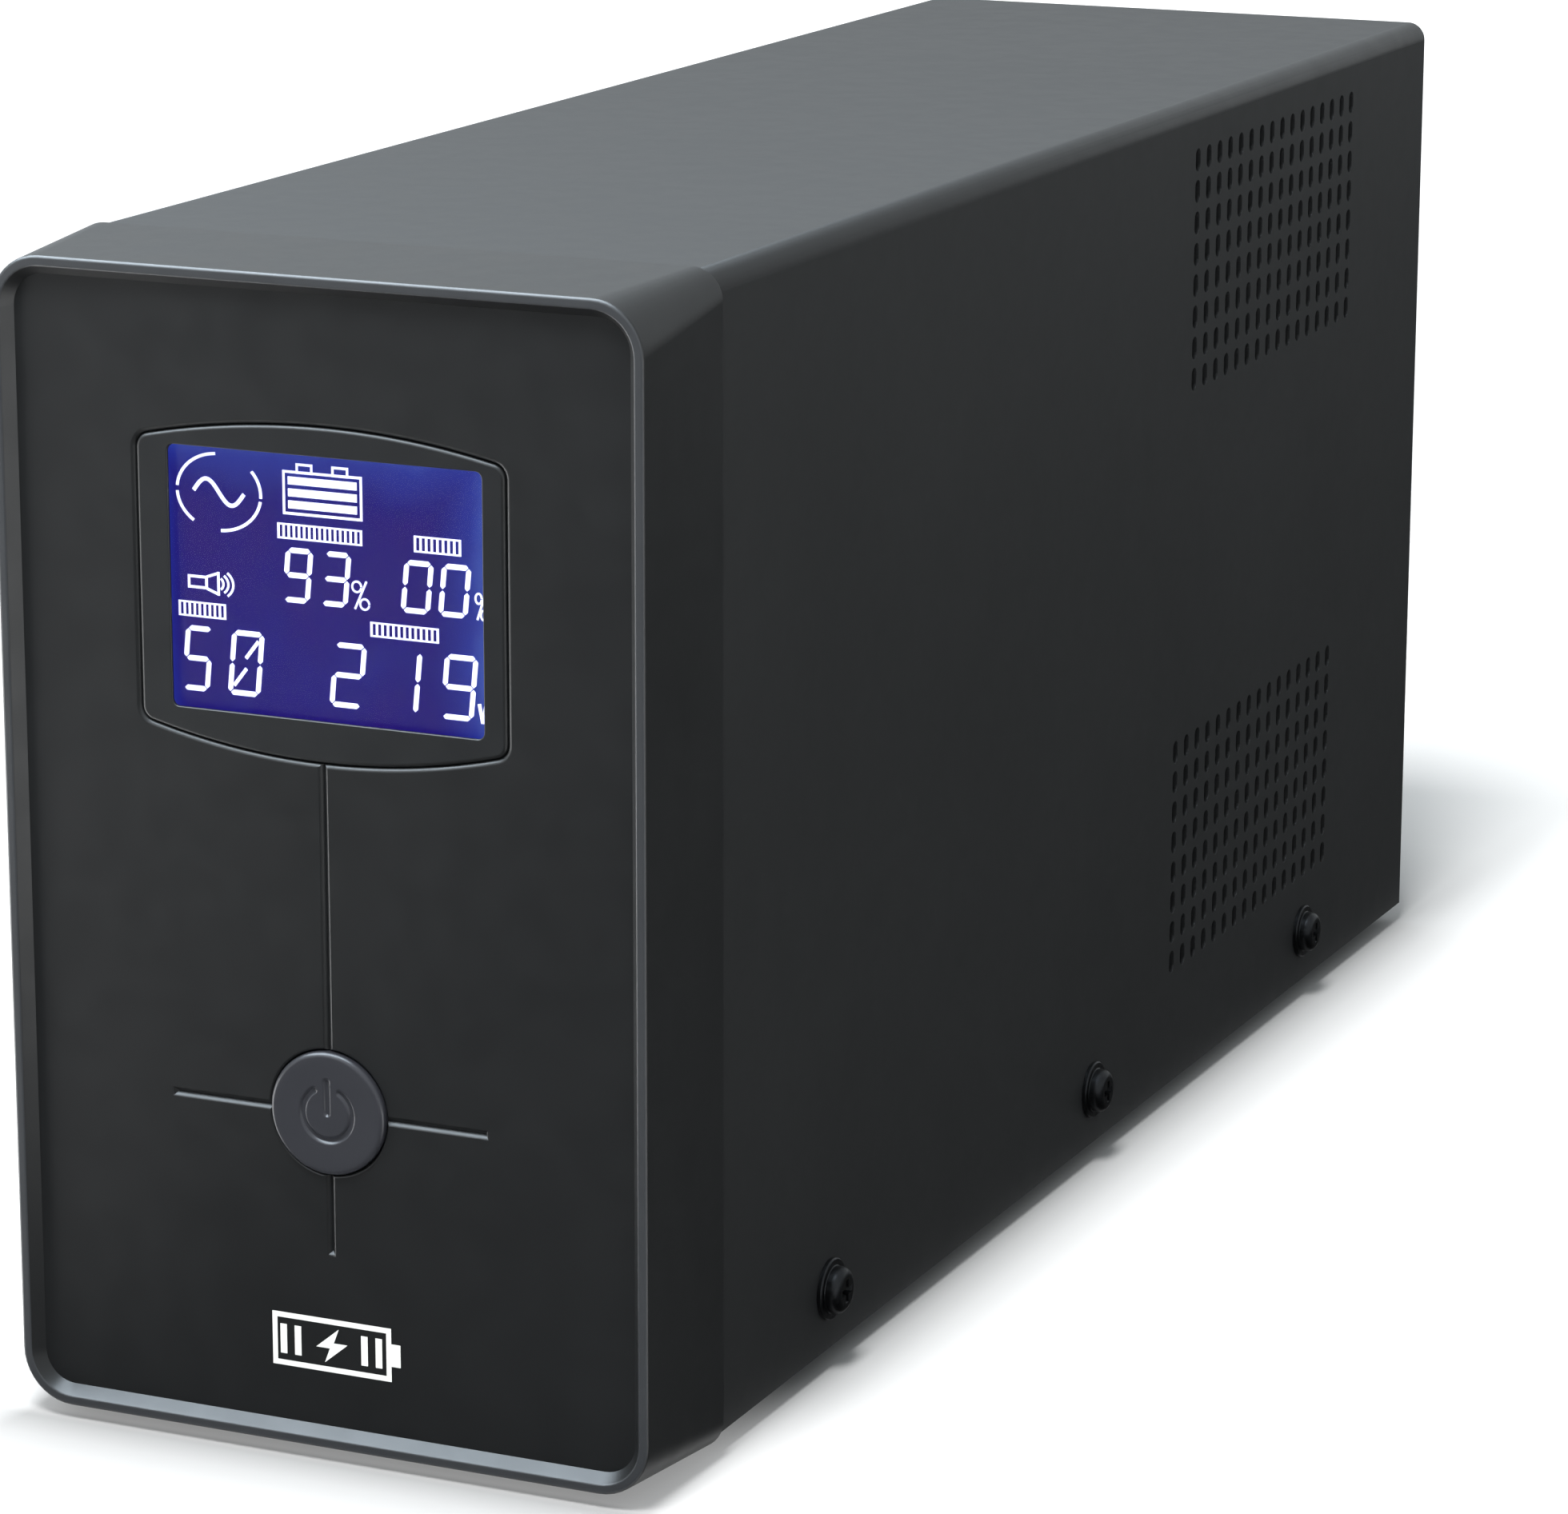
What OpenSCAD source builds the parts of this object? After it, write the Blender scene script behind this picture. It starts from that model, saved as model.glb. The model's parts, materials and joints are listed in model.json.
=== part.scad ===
// Line-interactive uninterruptible power supply in a narrow steel case.
// X runs left to right as seen from the front, the front faces -Y, Z is up.
// Inside the modules y is counted from the front rim, and placed() moves it
// so that the origin lies under the middle of the whole object.

/* [Case] */
// Outer width of the steel cover
case_w = 94.6; // [92:0.1:110]
// Height from the base pan's underside to the cover's top
case_h = 160.4; // [158:0.1:175]
// Length of the steel case behind the bezel
case_d = 296.6; // [290:0.1:330]
// Thickness of the steel sheet
sheet_t = 1; // [0.8:0.1:1.2]
// Outer radius of the cover's bends
cover_bend_r = 3; // [2:0.5:4]
// Height of the rubber feet
foot_h = 3; // [2:0.5:8]
// Width of the lip that frames the rear panel
rear_lip = 9; // [8:0.5:10]

/* [Vents] */
// Columns of slots in each vent field
vent_columns = 16; // [4:1:16]
// Rows of slots in each vent field
vent_rows = 8; // [2:1:8]
// Distance between neighbouring slots
vent_pitch = 5.02; // [4.8:0.01:5.1]
// Width of a slot
slot_w = 2.2; // [1.6:0.1:2.6]
// Height of a slot
slot_h = 3.7; // [3:0.1:4]

/* [Bezel] */
// Depth of the plastic front bezel
bezel_d = 23.4; // [20:0.2:28]
// Width of the bezel at its front rim
rim_w = 96; // [95:0.1:96.4]
// Height of the bezel at its front rim
rim_h = 160.8; // [158:0.1:161]
// How far the flat face lies behind the rim
face_depth = 1.8; // [1:0.1:3]
// Wall thickness of the bezel
bezel_t = 2.2; // [1.8:0.1:3]

/* [Display] */
// Width of the part of the display that shows
lcd_w = 46.5; // [40:0.5:48]
// Height of the part of the display that shows
lcd_h = 35.5; // [30:0.5:36]
// Width of the barrel-shaped display frame
frame_w = 54.6; // [52:0.1:56]
// Gap around the display frame
frame_gap = 0.4; // [0.2:0.1:0.6]

/* [Power button] */
// Diameter of the button cap
button_d = 17.2; // [14:0.1:18]
// Height of the button's centre above the case's lower edge
button_up = 46.4; // [44:0.1:50]
// Gap around the button cap
button_gap = 0.45; // [0.4:0.05:0.8]

/* [Battery] */
// Width of the sealed battery
battery_w = 65; // [60:1:65]
// Length of the sealed battery
battery_l = 151; // [145:1:151]
// Height of the sealed battery without its tabs
battery_h = 94; // [90:1:94]

/* [Hidden] */
$fn = 48;
hull_fn = 32;
eps = 0.01;

// case
case_z = foot_h;
case_top = case_z + case_h;
case_end = bezel_d + case_d;
half_w = case_w / 2;
inner_x = half_w - sheet_t;
inner_top = case_top - sheet_t;
seam = 0.2;
thread_d = 2.9;
clear_d = 3.4;
cover_z = case_z + 0.4;
pan_top = case_z + sheet_t;
pan_x = inner_x - 0.1;
pan_flange_h = 14;
pan_bend = 1.5;
pan_end_h = 11;
ribbon_window = [28, 26];
ribbon_window_z = 108;
cover_screw_y = [61.4, 164.5, 265];
cover_screw_z = case_z + 9.3;
upper_vent = [205, case_z + 116.1];
lower_vent = [199.8, case_z + 20.9];

// bezel
rim_z = case_z - 0.9;
rim_r = 7.5;
back_w = 96.8;
back_z = case_z - 1.7;
back_top = case_top + 0.5;
back_r = 4.5;
rim_edge = 0.6;
rim_land = 0.9;
slope_w = 1.1;
face_y = face_depth;
face_back = face_y + bezel_t;
boss_d = 7;
boss_x = 39;
boss_z = [case_z + 11.3, case_z + 148.3];
boss_hole_l = 12;
post_d = 5;
peg_d = 2.4;
post_x = 30.5;
post_z = [case_z + 40.3, case_z + 145.3];
groove_w = 1.3;
groove_deep = 0.6;
groove_reach = 24;
groove_low = 20.4;

// display frame: a barrel with arched top and bottom
frame_low = case_z + 94.7;
frame_high = case_z + 139.8;
low_bulge = 3.7;
high_bulge = 3.1;
lcd_z = case_z + 117.8;
lens_y = face_y + 0.4;
lens_t = 1.1;
lcd_y = lens_y + lens_t + 0.1;
lcd_t = 2.8;
backlight_t = 4;
flange_t = 1.2;
flange_w = 1.8;
stack_y = face_back + flange_t + 0.1;
board_y = 14;
board_t = 1.6;
board_w = 68;
board_h = 113;
board_z = case_z + 36.3;

// power button
button_z = case_z + button_up;
button_raise = 0.8;
button_travel = 1.5;
plunger_y = 7;
switch_y = 9.5;

// rear
panel_y = case_end - 2 * sheet_t;
panel_face = panel_y + sheet_t;
rear_screw_x = half_w - 4.8;
rear_screw_z = [case_z + 21, case_z + 143];
low_screw_x = 28;
low_screw_z = case_z + 6.5;
outlet_x = 18.6;
outlet_z = [84.5, 116.5];
inlet_at = [8, 30];
breaker_at = [-28, 30];
usb_at = [-24, 143];
jack_in_at = [-2, 143];
jack_out_at = [20, 143];
rear_vent_z = 57.5;
rear_vent_h = 12;
rear_vent_pitch = 5;
panel_notch = 2.5;
panel_tab = 10;
outlet_hole = [31.6, 23.8];
inlet_hole = [27.8, 20.2];
inlet_screw_x = 20;
breaker_reach = 7;
breaker_travel = 3;

// whole object
total_d = case_end + breaker_reach;
front_y = -total_d / 2;

// battery, transformer and circuit board
battery_y = 28;
battery_top = pan_top + battery_h;
lid_h = 6;
terminal_x = 22;
terminal_y = battery_y + 12;
strap_y = 96;
strap_w = 18;
strap_t = 1.2;
core_y = 238;
core_size = [48, 84, 70];
limb = 14;
core_top = pan_top + core_size[2];
bracket_t = 1.6;
bracket_foot = 12;
deck_z = 104;
deck_t = 1.2;
deck_x = 43;
deck_y = [150, 294];
deck_legs = [183, 284];
leg_w = 10;
standoff_h = 6;
main_z = deck_z + deck_t + standoff_h;
main_top = main_z + board_t;
main_x = 41;
main_y = [152, 292];
standoff_x = 37;
standoff_y = [158, 222, 286];

// ---------- helpers ----------

// From the front-rim frame into the object's own frame
module placed() {
  translate([0, front_y, 0]) children();
}

// A flat shape drawn in x and z, given thickness along y
module plate_y(y, t) {
  translate([0, y + t, 0]) rotate([90, 0, 0]) linear_extrude(t) children();
}

// A flat shape drawn in y and z, given thickness along x
module plate_x(x, t) {
  translate([x, 0, 0]) rotate([90, 0, 90]) linear_extrude(t) children();
}

// A solid of revolution whose axis points along +y
module axis_y(x, y, z) {
  translate([x, y, z]) rotate([-90, 0, 0]) children();
}

// Rectangle with true round corners, centred
module round_rect(w, h, r) {
  square([w - 2 * r, h], center = true);
  square([w, h - 2 * r], center = true);
  for (sx = [-1, 1], sy = [-1, 1])
    translate([sx * (w / 2 - r), sy * (h / 2 - r)]) circle(r);
}

// Slot with round ends, upright, centred
module upright_slot(w, h) {
  square([w, h - w], center = true);
  for (s = [-1, 1]) translate([0, s * (h - w) / 2]) circle(d = w);
}

// Rectangle whose two upper corners are cut off, as on mains connectors
module connector_outline(w, h, cut) {
  polygon([
    [-w / 2, -h / 2], [w / 2, -h / 2], [w / 2, h / 2 - cut],
    [w / 2 - cut, h / 2], [-w / 2 + cut, h / 2], [-w / 2, h / 2 - cut]
  ]);
}

// Pan-head screw along +y from its head's seat, head towards -y
module pan_screw(head_d, head_h, shank_d, shank_l) {
  difference() {
    translate([0, 0, -head_h]) cylinder(d = head_d, h = head_h);
    for (a = [0, 90]) rotate([0, 0, a])
      translate([-head_d * 0.3, -0.4, -head_h - eps])
        cube([head_d * 0.6, 0.8, head_h * 0.55]);
  }
  cylinder(d = shank_d, h = shank_l);
}

// Wires: a smooth tube through a few points
function catmull(a, b, c, d, t) = 0.5 * (
  2 * b + (c - a) * t + (2 * a - 5 * b + 4 * c - d) * t * t
  + (3 * b - a - 3 * c + d) * t * t * t
);
function smooth(p, n) = [
  for (i = [0:len(p) - 2], k = [0:n - 1])
    catmull(p[max(i - 1, 0)], p[i], p[i + 1], p[min(i + 2, len(p) - 1)], k / n),
  p[len(p) - 1]
];
function unit(v) = v / norm(v);
function tangent(p, i) = unit(p[min(i + 1, len(p) - 1)] - p[max(i - 1, 0)]);
function ring(p, i, r, sides) =
  let (t = tangent(p, i), n = unit(cross(t, [1, 0, 0])), b = cross(t, n))
  [for (k = [0:sides - 1]) p[i] + r * (cos(360 * k / sides) * n + sin(360 * k / sides) * b)];
module wire(points, d, sides = 8, n = 5) {
  path = smooth(points, n);
  last = len(path) - 1;
  rings = [for (i = [0:last]) each ring(path, i, d / 2, sides)];
  walls = [
    for (i = [0:last - 1], k = [0:sides - 1])
      let (j = (k + 1) % sides)
      [i * sides + k, i * sides + j, (i + 1) * sides + j, (i + 1) * sides + k]
  ];
  ends = [
    [for (k = [sides - 1:-1:0]) k],
    [for (k = [0:sides - 1]) last * sides + k]
  ];
  polyhedron(rings, concat(walls, ends), convexity = 6);
}

// ---------- steel case ----------

// Section of the cover across the case: an upside-down U with round bends
module cover_section(inset) {
  r = cover_bend_r - inset;
  low = inset == 0 ? cover_z : cover_z - 1;
  w = case_w - 2 * inset;
  top = case_top - inset;
  translate([-w / 2, low]) square([w, top - low - r]);
  translate([-w / 2 + r, low]) square([w - 2 * r, top - low]);
  for (s = [-1, 1]) translate([s * (w / 2 - r), top - r]) circle(r);
}

module vent_field(at) {
  for (i = [0:vent_columns - 1], j = [0:vent_rows - 1])
    translate([at[0] + i * vent_pitch, at[1] + j * vent_pitch])
      upright_slot(slot_w, slot_h, $fn = 24);
}

module top_cover() {
  front = bezel_d + seam;
  color("#2b2d2f") placed() difference() {
    plate_y(front, case_end - front) cover_section(0);
    plate_y(front - 1, case_end - front + 1 - sheet_t) cover_section(sheet_t);
    plate_y(case_end - sheet_t - 1, sheet_t + 2)
      translate([-half_w + rear_lip, cover_z - 1])
        square([case_w - 2 * rear_lip, case_top - rear_lip - cover_z + 1]);
    plate_x(-half_w - 1, case_w + 2) {
      vent_field(upper_vent);
      vent_field(lower_vent);
      for (y = cover_screw_y) translate([y, cover_screw_z]) circle(d = clear_d);
    }
    for (s = [-1, 1], z = rear_screw_z)
      axis_y(s * rear_screw_x, case_end - 3, z) cylinder(d = clear_d, h = 5);
  }
}

// Bottom plate with upturned side flanges, front wall and rear flange
module base_pan() {
  front = bezel_d + 0.3;
  depth = panel_y - 0.1 - front;
  bend = pan_bend;
  color("#2b2d2f") placed() difference() {
    union() {
      plate_y(front, depth) difference() {
        union() {
          translate([-pan_x, case_z + bend]) square([2 * pan_x, pan_flange_h - bend]);
          translate([-pan_x + bend, case_z]) square([2 * (pan_x - bend), pan_flange_h]);
          for (s = [-1, 1]) translate([s * (pan_x - bend), case_z + bend]) circle(bend);
        }
        translate([-pan_x + sheet_t, pan_top])
          square([2 * (pan_x - sheet_t), pan_flange_h]);
      }
      translate([-pan_x + sheet_t, front, case_z])
        cube([2 * (pan_x - sheet_t), sheet_t, case_h - 6]);
      translate([-pan_x + sheet_t, front + depth - sheet_t, case_z])
        cube([2 * (pan_x - sheet_t), sheet_t, pan_end_h]);
    }
    translate([-ribbon_window[0] / 2, front - 1, ribbon_window_z])
      cube([ribbon_window[0], 3, ribbon_window[1]]);
    for (s = [-1, 1], z = boss_z)
      axis_y(s * boss_x, front - 1, z) cylinder(d = 3.2, h = 3);
    for (s = [-1, 1])
      axis_y(s * low_screw_x, front + depth - 3, low_screw_z) cylinder(d = thread_d, h = 5);
    for (y = cover_screw_y)
      translate([-pan_x - 1, y, cover_screw_z]) rotate([0, 90, 0])
        cylinder(d = thread_d, h = 2 * pan_x + 2);
    for (at = foot_places) translate([at[0], at[1], case_z - 1])
      cylinder(d = foot_stem_d + 0.2, h = 3);
    for (at = chassis_screw_places()) translate([at[0], at[1], case_z - 1])
      cylinder(d = thread_d, h = 3);
  }
}

module rear_panel() {
  x = pan_x - 0.1;
  z = pan_top + 0.2;
  top = inner_top - 0.2;
  color("#2b2d2f") placed() difference() {
    union() {
      translate([-x, panel_y, z]) cube([2 * x, sheet_t, top - z - panel_notch]);
      translate([-x + panel_notch, panel_y, z])
        cube([2 * (x - panel_notch), sheet_t, top - z]);
      for (s = [-1, 1])
        translate([s * (x - sheet_t / 2) - sheet_t / 2, panel_y - panel_tab, 20])
          cube([sheet_t, panel_tab + eps, top - 26]);
    }
    plate_y(panel_y - 1, 3) {
      for (sx = [-1, 1], oz = outlet_z)
        translate([sx * outlet_x, oz]) square(outlet_hole, center = true);
      translate(inlet_at) square(inlet_hole, center = true);
      translate(breaker_at) circle(d = 10);
      translate(usb_at) square([12.4, 11.4], center = true);
      for (at = [jack_in_at, jack_out_at]) translate(at) square([16.2, 14], center = true);
      for (i = [-6:6]) translate([i * rear_vent_pitch, rear_vent_z])
        upright_slot(slot_w, rear_vent_h);
    }
    for (s = [-1, 1]) {
      for (z = rear_screw_z)
        axis_y(s * rear_screw_x, panel_y - 1, z) cylinder(d = thread_d, h = 3);
      axis_y(s * low_screw_x, panel_y - 1, low_screw_z) cylinder(d = clear_d, h = 3);
      axis_y(inlet_at[0] + s * inlet_screw_x, panel_y - 1, inlet_at[1]) cylinder(d = thread_d, h = 3);
    }
  }
}

// Black screws with a washer and a rounded pan head
module cover_screws() {
  head_h = 2.8;
  edge = 1.2;
  color("#101112") placed() for (s = [-1, 1], y = cover_screw_y)
    translate([s * half_w, y, cover_screw_z]) rotate([0, s * 90, 0]) {
      cylinder(d = 9, h = 0.7);
      difference() {
        rotate_extrude() {
          square([3.4, head_h - edge]);
          square([3.4 - edge, head_h]);
          translate([3.4 - edge, head_h - edge]) circle(edge);
        }
        for (a = [0, 90]) rotate([0, 0, a])
          translate([-1.9, -0.5, head_h - 1.3]) cube([3.8, 1, 2]);
      }
      translate([0, 0, -7]) cylinder(d = 2.7, h = 7 + eps);
    }
}

module rear_screws() {
  color("#8c8f92") placed() {
    for (s = [-1, 1], z = rear_screw_z)
      axis_y(s * rear_screw_x, case_end, z) rotate([180, 0, 0]) pan_screw(5.8, 2.1, 2.7, 8);
    for (s = [-1, 1])
      axis_y(s * low_screw_x, panel_face, low_screw_z) rotate([180, 0, 0])
        pan_screw(5.8, 2.1, 2.7, 7);
  }
}

// Push-in rubber feet
foot_d = 13;
foot_stem_d = 4;
foot_places = [[-35, 45], [35, 45], [-35, 303], [35, 303]];
module foot(i) {
  color("#1a1a1b") placed() translate([foot_places[i][0], foot_places[i][1], 0]) {
    rotate_extrude() {
      square([foot_d / 2 - 1, foot_h]);
      translate([0, 1]) square([foot_d / 2, foot_h - 1]);
      translate([foot_d / 2 - 1, 1]) circle(1);
    }
    translate([0, 0, foot_h - eps]) cylinder(d = foot_stem_d, h = sheet_t + 2 * eps);
    translate([0, 0, foot_h + sheet_t]) cylinder(d1 = 4.8, d2 = 3, h = 1.8);
  }
}
module foot_front_left() { foot(0); }
module foot_front_right() { foot(1); }
module foot_rear_left() { foot(2); }
module foot_rear_right() { foot(3); }

// ---------- front bezel and display ----------

// Thin slice of a rounded outline between two heights, used only inside hulls
module bezel_slice(y, w, z0, z1, r) {
  plate_y(y, eps) translate([0, (z0 + z1) / 2]) round_rect(w, z1 - z0, r, $fn = hull_fn);
}

// Outline of the display frame, grown by g
module barrel(g) {
  half = frame_w / 2;
  low_r = (half * half + low_bulge * low_bulge) / (2 * low_bulge);
  high_r = (half * half + high_bulge * high_bulge) / (2 * high_bulge);
  intersection() {
    translate([-half - g, frame_low - g])
      square([frame_w + 2 * g, frame_high - frame_low + 2 * g]);
    translate([0, frame_low + low_r]) circle(low_r + g, $fn = 180);
    translate([0, frame_high - high_r]) circle(high_r + g, $fn = 180);
  }
}

module front_bezel() {
  rim_top = rim_z + rim_h;
  cavity_w = rim_w - 2 * bezel_t;
  color("#303234") placed() difference() {
    union() {
      difference() {
        hull() {
          bezel_slice(0, rim_w - 2 * rim_edge, rim_z + rim_edge, rim_top - rim_edge, rim_r - rim_edge);
          bezel_slice(rim_edge, rim_w, rim_z, rim_top, rim_r);
          bezel_slice(bezel_d - eps, back_w, back_z, back_top, back_r);
        }
        hull() for (k = [-0.2, 1]) {
          inset = rim_edge + rim_land + k * slope_w;
          bezel_slice(k * face_y - (k > 0 ? eps : 0), rim_w - 2 * inset,
            rim_z + inset, rim_top - inset, rim_r - inset);
        }
        plate_y(face_back, bezel_d) translate([0, rim_z + rim_h / 2])
          round_rect(cavity_w, rim_h - 2 * bezel_t, rim_r - bezel_t);
      }
      for (s = [-1, 1], z = boss_z)
        axis_y(s * boss_x, face_back - eps, z) cylinder(d = boss_d, h = bezel_d - face_back);
      for (s = [-1, 1], z = post_z) axis_y(s * post_x, face_back - eps, z) {
        cylinder(d = post_d, h = board_y - face_back);
        cylinder(d = peg_d, h = board_y - face_back + board_t + 1);
      }
    }
    plate_y(face_y - 1, bezel_t + 2) barrel(frame_gap);
    axis_y(0, face_y - 1, button_z) cylinder(d = button_d + 2 * button_gap, h = bezel_t + 2);
    plate_y(face_y - 1, groove_deep + 1) {
      translate([-groove_w / 2, button_z]) square([groove_w, frame_low - button_z]);
      translate([-groove_w / 2, button_z - groove_low]) square([groove_w, groove_low]);
      translate([-groove_reach, button_z - groove_w / 2]) square([2 * groove_reach, groove_w]);
    }
    for (s = [-1, 1], z = boss_z)
      axis_y(s * boss_x, bezel_d - boss_hole_l, z) cylinder(d = 2.5, h = boss_hole_l + 1);
  }
}

module bezel_screws() {
  color("#8c8f92") placed() for (s = [-1, 1], z = boss_z)
    axis_y(s * boss_x, bezel_d + 0.3 + sheet_t, z) rotate([180, 0, 0])
      pan_screw(5.6, 2, 2.4, 11);
}

module lcd_rect(g) {
  translate([0, lcd_z]) round_rect(lcd_w + 2 * g, lcd_h + 2 * g, 1);
}

module display_frame() {
  color("#2c2e30") placed() difference() {
    union() {
      plate_y(face_y, bezel_t + eps) barrel(0);
      plate_y(face_back, flange_t) barrel(flange_w);
    }
    plate_y(face_y - 1, 8) lcd_rect(0);
    plate_y(lens_y, 8) lcd_rect(1);
  }
}

module display_lens() {
  color("#20242c", 0.4) placed() plate_y(lens_y, lens_t) lcd_rect(0.8);
}

module lcd_panel() {
  color("#33298c") placed() plate_y(lcd_y, lcd_t) lcd_rect(0.9);
}

module lcd_backlight() {
  color("#dfe6ff") placed() plate_y(lcd_y + lcd_t, backlight_t) lcd_rect(0.9);
}

module lcd_housing() {
  color("#1d1e20") placed() difference() {
    plate_y(stack_y, board_y - stack_y) translate([0, lcd_z]) round_rect(56, 45, 1.5);
    plate_y(stack_y - 1, lcd_y + lcd_t + backlight_t + 1.1 - stack_y) lcd_rect(1.1);
  }
}

module display_board() {
  color("#1f5b33") placed() difference() {
    translate([-board_w / 2, board_y, board_z]) cube([board_w, board_t, board_h]);
    for (s = [-1, 1], z = post_z)
      axis_y(s * post_x, board_y - 1, z) cylinder(d = peg_d + 0.2, h = board_t + 2);
  }
}

// Power sign: a ring open at the top, with a bar
module power_sign() {
  difference() {
    circle(3.8);
    circle(3.05);
    translate([-1.3, 0]) square([2.6, 5]);
  }
  translate([-0.4, 0.6]) square([0.8, 4.6]);
}

// Cap with a rounded edge, a retaining flange and a stem
module power_button() {
  front = face_y - button_raise;
  edge = 0.7;
  r = button_d / 2;
  color("#43434a") placed() difference() {
    axis_y(0, front, button_z) {
      rotate_extrude() {
        square([r - edge, 1.8]);
        translate([r - edge, edge]) circle(edge);
        translate([r - 1.4, edge]) square([1.4, 4.6 - edge]);
        translate([r - 1.4, 3.4]) square([2.8, 1.2]);
      }
      cylinder(d = 5, h = plunger_y - front);
    }
    plate_y(front - 1, 1.35) translate([0, button_z]) power_sign();
  }
}

module switch_plunger() {
  color("#e8e4dc") placed() axis_y(0, plunger_y, button_z) {
    cylinder(d = 3.6, h = 4.6);
    translate([0, 0, 0]) cylinder(d = 4.6, h = 0.8);
  }
}

module power_switch() {
  color("#28292b") placed() difference() {
    translate([-6, switch_y, button_z - 6]) cube([12, board_y - switch_y, 12]);
    axis_y(0, switch_y - 1, button_z) cylinder(d = 4.4, h = 5);
  }
}

// Flat cable in a shallow sag, with a plug at each end
module ribbon_cable() {
  y0 = board_y + board_t + 5;
  y1 = main_y[0];
  z0 = 121.5;
  t = 1.1;
  steps = 24;
  curve = [for (i = [0:steps]) [y0 + (y1 - y0) * i / steps, z0 - 4 * sin(180 * i / steps)]];
  lower = [for (i = [steps:-1:0]) curve[i] - [0, t]];
  color("#9aa0a6") placed() {
    plate_x(-8, 16) polygon(concat(curve, lower));
    translate([-9.5, y0 - 5, z0 - 3.6]) cube([19, 5 + eps, 6]);
    translate([-9.5, y1 - eps, main_top]) cube([19, 6, z0 + 2 - main_top]);
  }
}

// ---------- battery ----------

module battery_block(z, h, grow = 0) {
  translate([0, battery_y + battery_l / 2, z]) linear_extrude(h)
    round_rect(battery_w + 2 * grow, battery_l + 2 * grow, 2.5);
}

module battery_case() {
  color("#3b3d41") placed() battery_block(pan_top, battery_h - lid_h, -0.4);
}

module battery_lid() {
  color("#2c2d30") placed() difference() {
    battery_block(battery_top - lid_h, lid_h);
    for (s = [-1, 1]) translate([s * terminal_x - 8, terminal_y - 7, battery_top - 2])
      cube([16, 14, 3]);
    translate([-20, battery_y + 30, battery_top - 0.8]) cube([40, 112, 1]);
  }
}

module battery_terminals() {
  z = battery_top - 2;
  color("#b9bcc0") placed() for (s = [-1, 1]) translate([s * terminal_x, terminal_y, z]) {
    translate([-4.5, -4, 0]) cube([9, 8, 1]);
    translate([-3.15, -0.4, 0]) cube([6.3, 0.8, 8]);
  }
}

module battery_strap() {
  x = battery_w / 2 + 0.2;
  top = battery_top + 0.2;
  color("#9da1a5") placed() difference() {
    plate_y(strap_y, strap_w) {
      for (s = [-1, 1]) {
        translate([s * (x + strap_t / 2) - strap_t / 2, pan_top])
          square([strap_t, top + strap_t - pan_top]);
        translate([s * (x + strap_t + 5) - 5 - (s > 0 ? eps : 0), pan_top])
          square([10 + eps, strap_t]);
      }
      translate([-x - eps, top]) square([2 * x + 2 * eps, strap_t]);
    }
    for (at = strap_screw_places()) translate([at[0], at[1], pan_top - 1])
      cylinder(d = clear_d, h = 4);
  }
}

// Insulated push-on sleeves over the terminal tabs
module battery_connectors() {
  z = battery_top - 0.6;
  color("#c2362c") placed() for (s = [-1, 1])
    translate([s * terminal_x, terminal_y, z]) difference() {
      translate([-4.2, -2.2, 0]) cube([8.4, 4.4, 12.6]);
      translate([-3.4, -0.6, -1]) cube([6.8, 1.2, 9]);
    }
}

lead_d = 3.6;
lead_route = [
  [terminal_x, terminal_y, battery_top + 12],
  [terminal_x, terminal_y + 1, battery_top + 15.5],
  [terminal_x + 1, 48, battery_top + 17],
  [terminal_x + 3, 78, battery_top + 11],
  [terminal_x + 4, 112, battery_top + 9],
  [terminal_x + 2, 138, battery_top + 15],
  [terminal_x, 154, battery_top + 21],
  [terminal_x - 1, 160, main_top + 3],
  [terminal_x - 1, 160.5, main_top]
];
module battery_lead(side) {
  wire([for (p = lead_route) [side * p[0], p[1], p[2]]], lead_d);
}
module battery_lead_red() {
  color("#b3201c") placed() battery_lead(1);
}
module battery_lead_black() {
  color("#151516") placed() battery_lead(-1);
}

// ---------- transformer ----------

module transformer_core() {
  x = core_size[0];
  color("#6f7276") placed() difference() {
    translate([-x / 2, core_y - core_size[1] / 2, pan_top]) cube([x, core_size[1], core_size[2]]);
    for (s = [-1, 1])
      translate([-x, core_y + s * 1.5 * limb - limb / 2, pan_top + limb])
        cube([2 * x, limb, core_size[2] - 2 * limb]);
  }
}

bobbin_gap = 0.2;
bobbin_t = 1.5;
window_low = pan_top + limb + 0.3;
window_h = core_size[2] - 2 * limb - 0.6;
bobbin_x = core_size[0] / 2 + bobbin_gap;
bobbin_y = limb + bobbin_gap;
coil_x = 36;
coil_y = 2 * limb - 1;
module transformer_bobbin() {
  color("#e9e4d2") placed() translate([0, core_y, window_low]) difference() {
    union() {
      for (z = [0, window_h - bobbin_t]) translate([0, 0, z]) linear_extrude(bobbin_t)
        square([2 * coil_x + 2, 2 * coil_y + 0.8], center = true);
      linear_extrude(window_h)
        square([2 * (bobbin_x + bobbin_t), 2 * (bobbin_y + bobbin_t)], center = true);
    }
    translate([0, 0, -1]) linear_extrude(window_h + 2)
      square([2 * bobbin_x, 2 * bobbin_y], center = true);
  }
}

module transformer_winding() {
  gap = 0.1;
  color("#a5662b") placed() translate([0, core_y, window_low + bobbin_t + gap])
    linear_extrude(window_h - 2 * (bobbin_t + gap)) difference() {
      round_rect(2 * coil_x, 2 * coil_y, 7);
      square([2 * (bobbin_x + bobbin_t + gap), 2 * (bobbin_y + bobbin_t + gap)], center = true);
    }
}

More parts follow.
